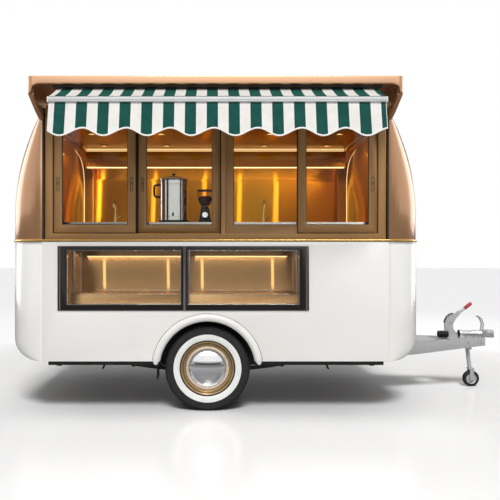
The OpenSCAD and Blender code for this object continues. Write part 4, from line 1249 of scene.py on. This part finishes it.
def make_lamp(name, place, target, size, watts, colour=(1, 1, 1), gloss_only=False, unseen=False):
    """A rectangular lamp, which the camera doesn't see. A gloss_only one shows in reflections
    and lights nothing, and an unseen one doesn't show through glass either."""
    data = bpy.data.lights.new(name, "AREA")
    data.shape = "RECTANGLE"
    data.size, data.size_y = size
    data.energy = watts
    data.color = colour
    lamp = add_object(name, data)
    lamp.visible_diffuse = not gloss_only
    lamp.visible_camera = False
    lamp.visible_transmission = not unseen
    lamp.location = MIDDLE + Vector(place)
    lamp.rotation_euler = (Vector(target) - Vector(place)).to_track_quat("-Z", "Y").to_euler()


def make_world():
    """White where the camera looks, a studio that darkens towards the horizon in reflections,
    and a plain soft level for everything else."""
    world = bpy.data.worlds.new("studio")
    bpy.context.scene.world = world
    world.use_nodes = True
    sky = Nodes(world.node_tree)
    rays = sky.add("LightPath").outputs
    way = sky.add("SeparateXYZ", {0: sky.add("TexCoord").outputs["Generated"]}).outputs
    horizon = sky.between(way["Z"], 0.06, 1.05, 0.04, 0.16)
    level_sky = sky.between(way["Z"], 0, 1, 0.155, 0.13)
    high_sky = sky.between(way["Z"], 0.04, 1, 0.3, 0.6)
    ahead = sky.math("MAXIMUM", level_sky, high_sky)
    front_or_back = sky.blend(sky.between(way["Y"], 0, 1, 0.1, 0.3), horizon, ahead)
    sides = sky.between(sky.math("ABSOLUTE", way["X"]), 0, 1.1, 0.5, 0.8)
    studio = sky.math("MAXIMUM", front_or_back, sides)
    level = sky.blend(rays["Is Glossy Ray"], 0.12, studio)
    seen = sky.math("MAXIMUM", rays["Is Camera Ray"], rays["Is Transmission Ray"])
    background = world.node_tree.nodes["Background"]
    background.inputs["Color"].default_value = grey(1)
    sky.feed(background.inputs["Strength"], sky.blend(seen, level, 1.0))


WARM, PALE = (1.0, 0.66, 0.26), (1.0, 0.78, 0.5)


def make_light():
    """Soft studio light outside, and the warm lamps of the cabin and the display case."""
    make_world()
    data = bpy.data.lights.new("sun", "SUN")
    data.energy = 2.3
    data.angle = radians(18)
    sun = add_object("sun", data)
    sun.rotation_euler = Vector((-0.05, 1.0, -1.25)).to_track_quat("-Z", "Y").to_euler()
    make_lamp("front", (0, -6.0, 4.0), (0, 0, 1.2), (5.0, 2.5), 60)
    make_lamp("behind", (1.5, 6.0, 4.5), (0, 0, 1.2), (5.0, 2.0), 50)
    for name, side in (("left", -1), ("right", 1)):
        make_lamp(name, (side * 6.0, 1.4, 2.4), (side * 1.4, -0.8, 1.4), (3.0, 3.5), 60,
                  gloss_only=True)
        make_lamp("cap_light", (side * 1.28, 0.1, 2.04), (side * 1.46, 0.2, 1.4), (0.03, 0.9),
                  3, WARM)
    make_lamp("wall_wash", (0, 0.64, 2.012), (0, 0.95, 1.6), (2.4, 0.04), 3.0, WARM)
    make_lamp("cabin", (0, -0.2, 2.17), (0, 0.1, 1.0), (2.2, 0.7), 1.8, WARM)
    for x, watts in ((-1.21, 0.3), (-0.64, 0.16), (-0.11, 0.16), (0.26, 0.16), (0.64, 0.16)):
        make_lamp("wall_streak", (x, 0.875, 1.7), (x, 0.96, 1.7), (0.04, 0.5), watts, WARM,
                  unseen=True)
    for x0, x1 in CELLS:
        middle = (x0 + x1) / 2
        make_lamp("case_light", (middle, CASE_BACK - 0.05, 1.14), (middle, CASE_BACK - 0.03, 0.85),
                  (x1 - x0 - 0.1, 0.02), 1.1, PALE)
    for x in (-0.942, -0.406, -0.11, 0.482):
        make_lamp("case_streak", (x, CASE_BACK - 0.05, 1.0), (x, CASE_BACK, 1.0), (0.02, 0.24),
                  0.05, PALE, unseen=True)


make_floor()
make_light()
bpy.context.scene.view_settings.view_transform = "Standard"
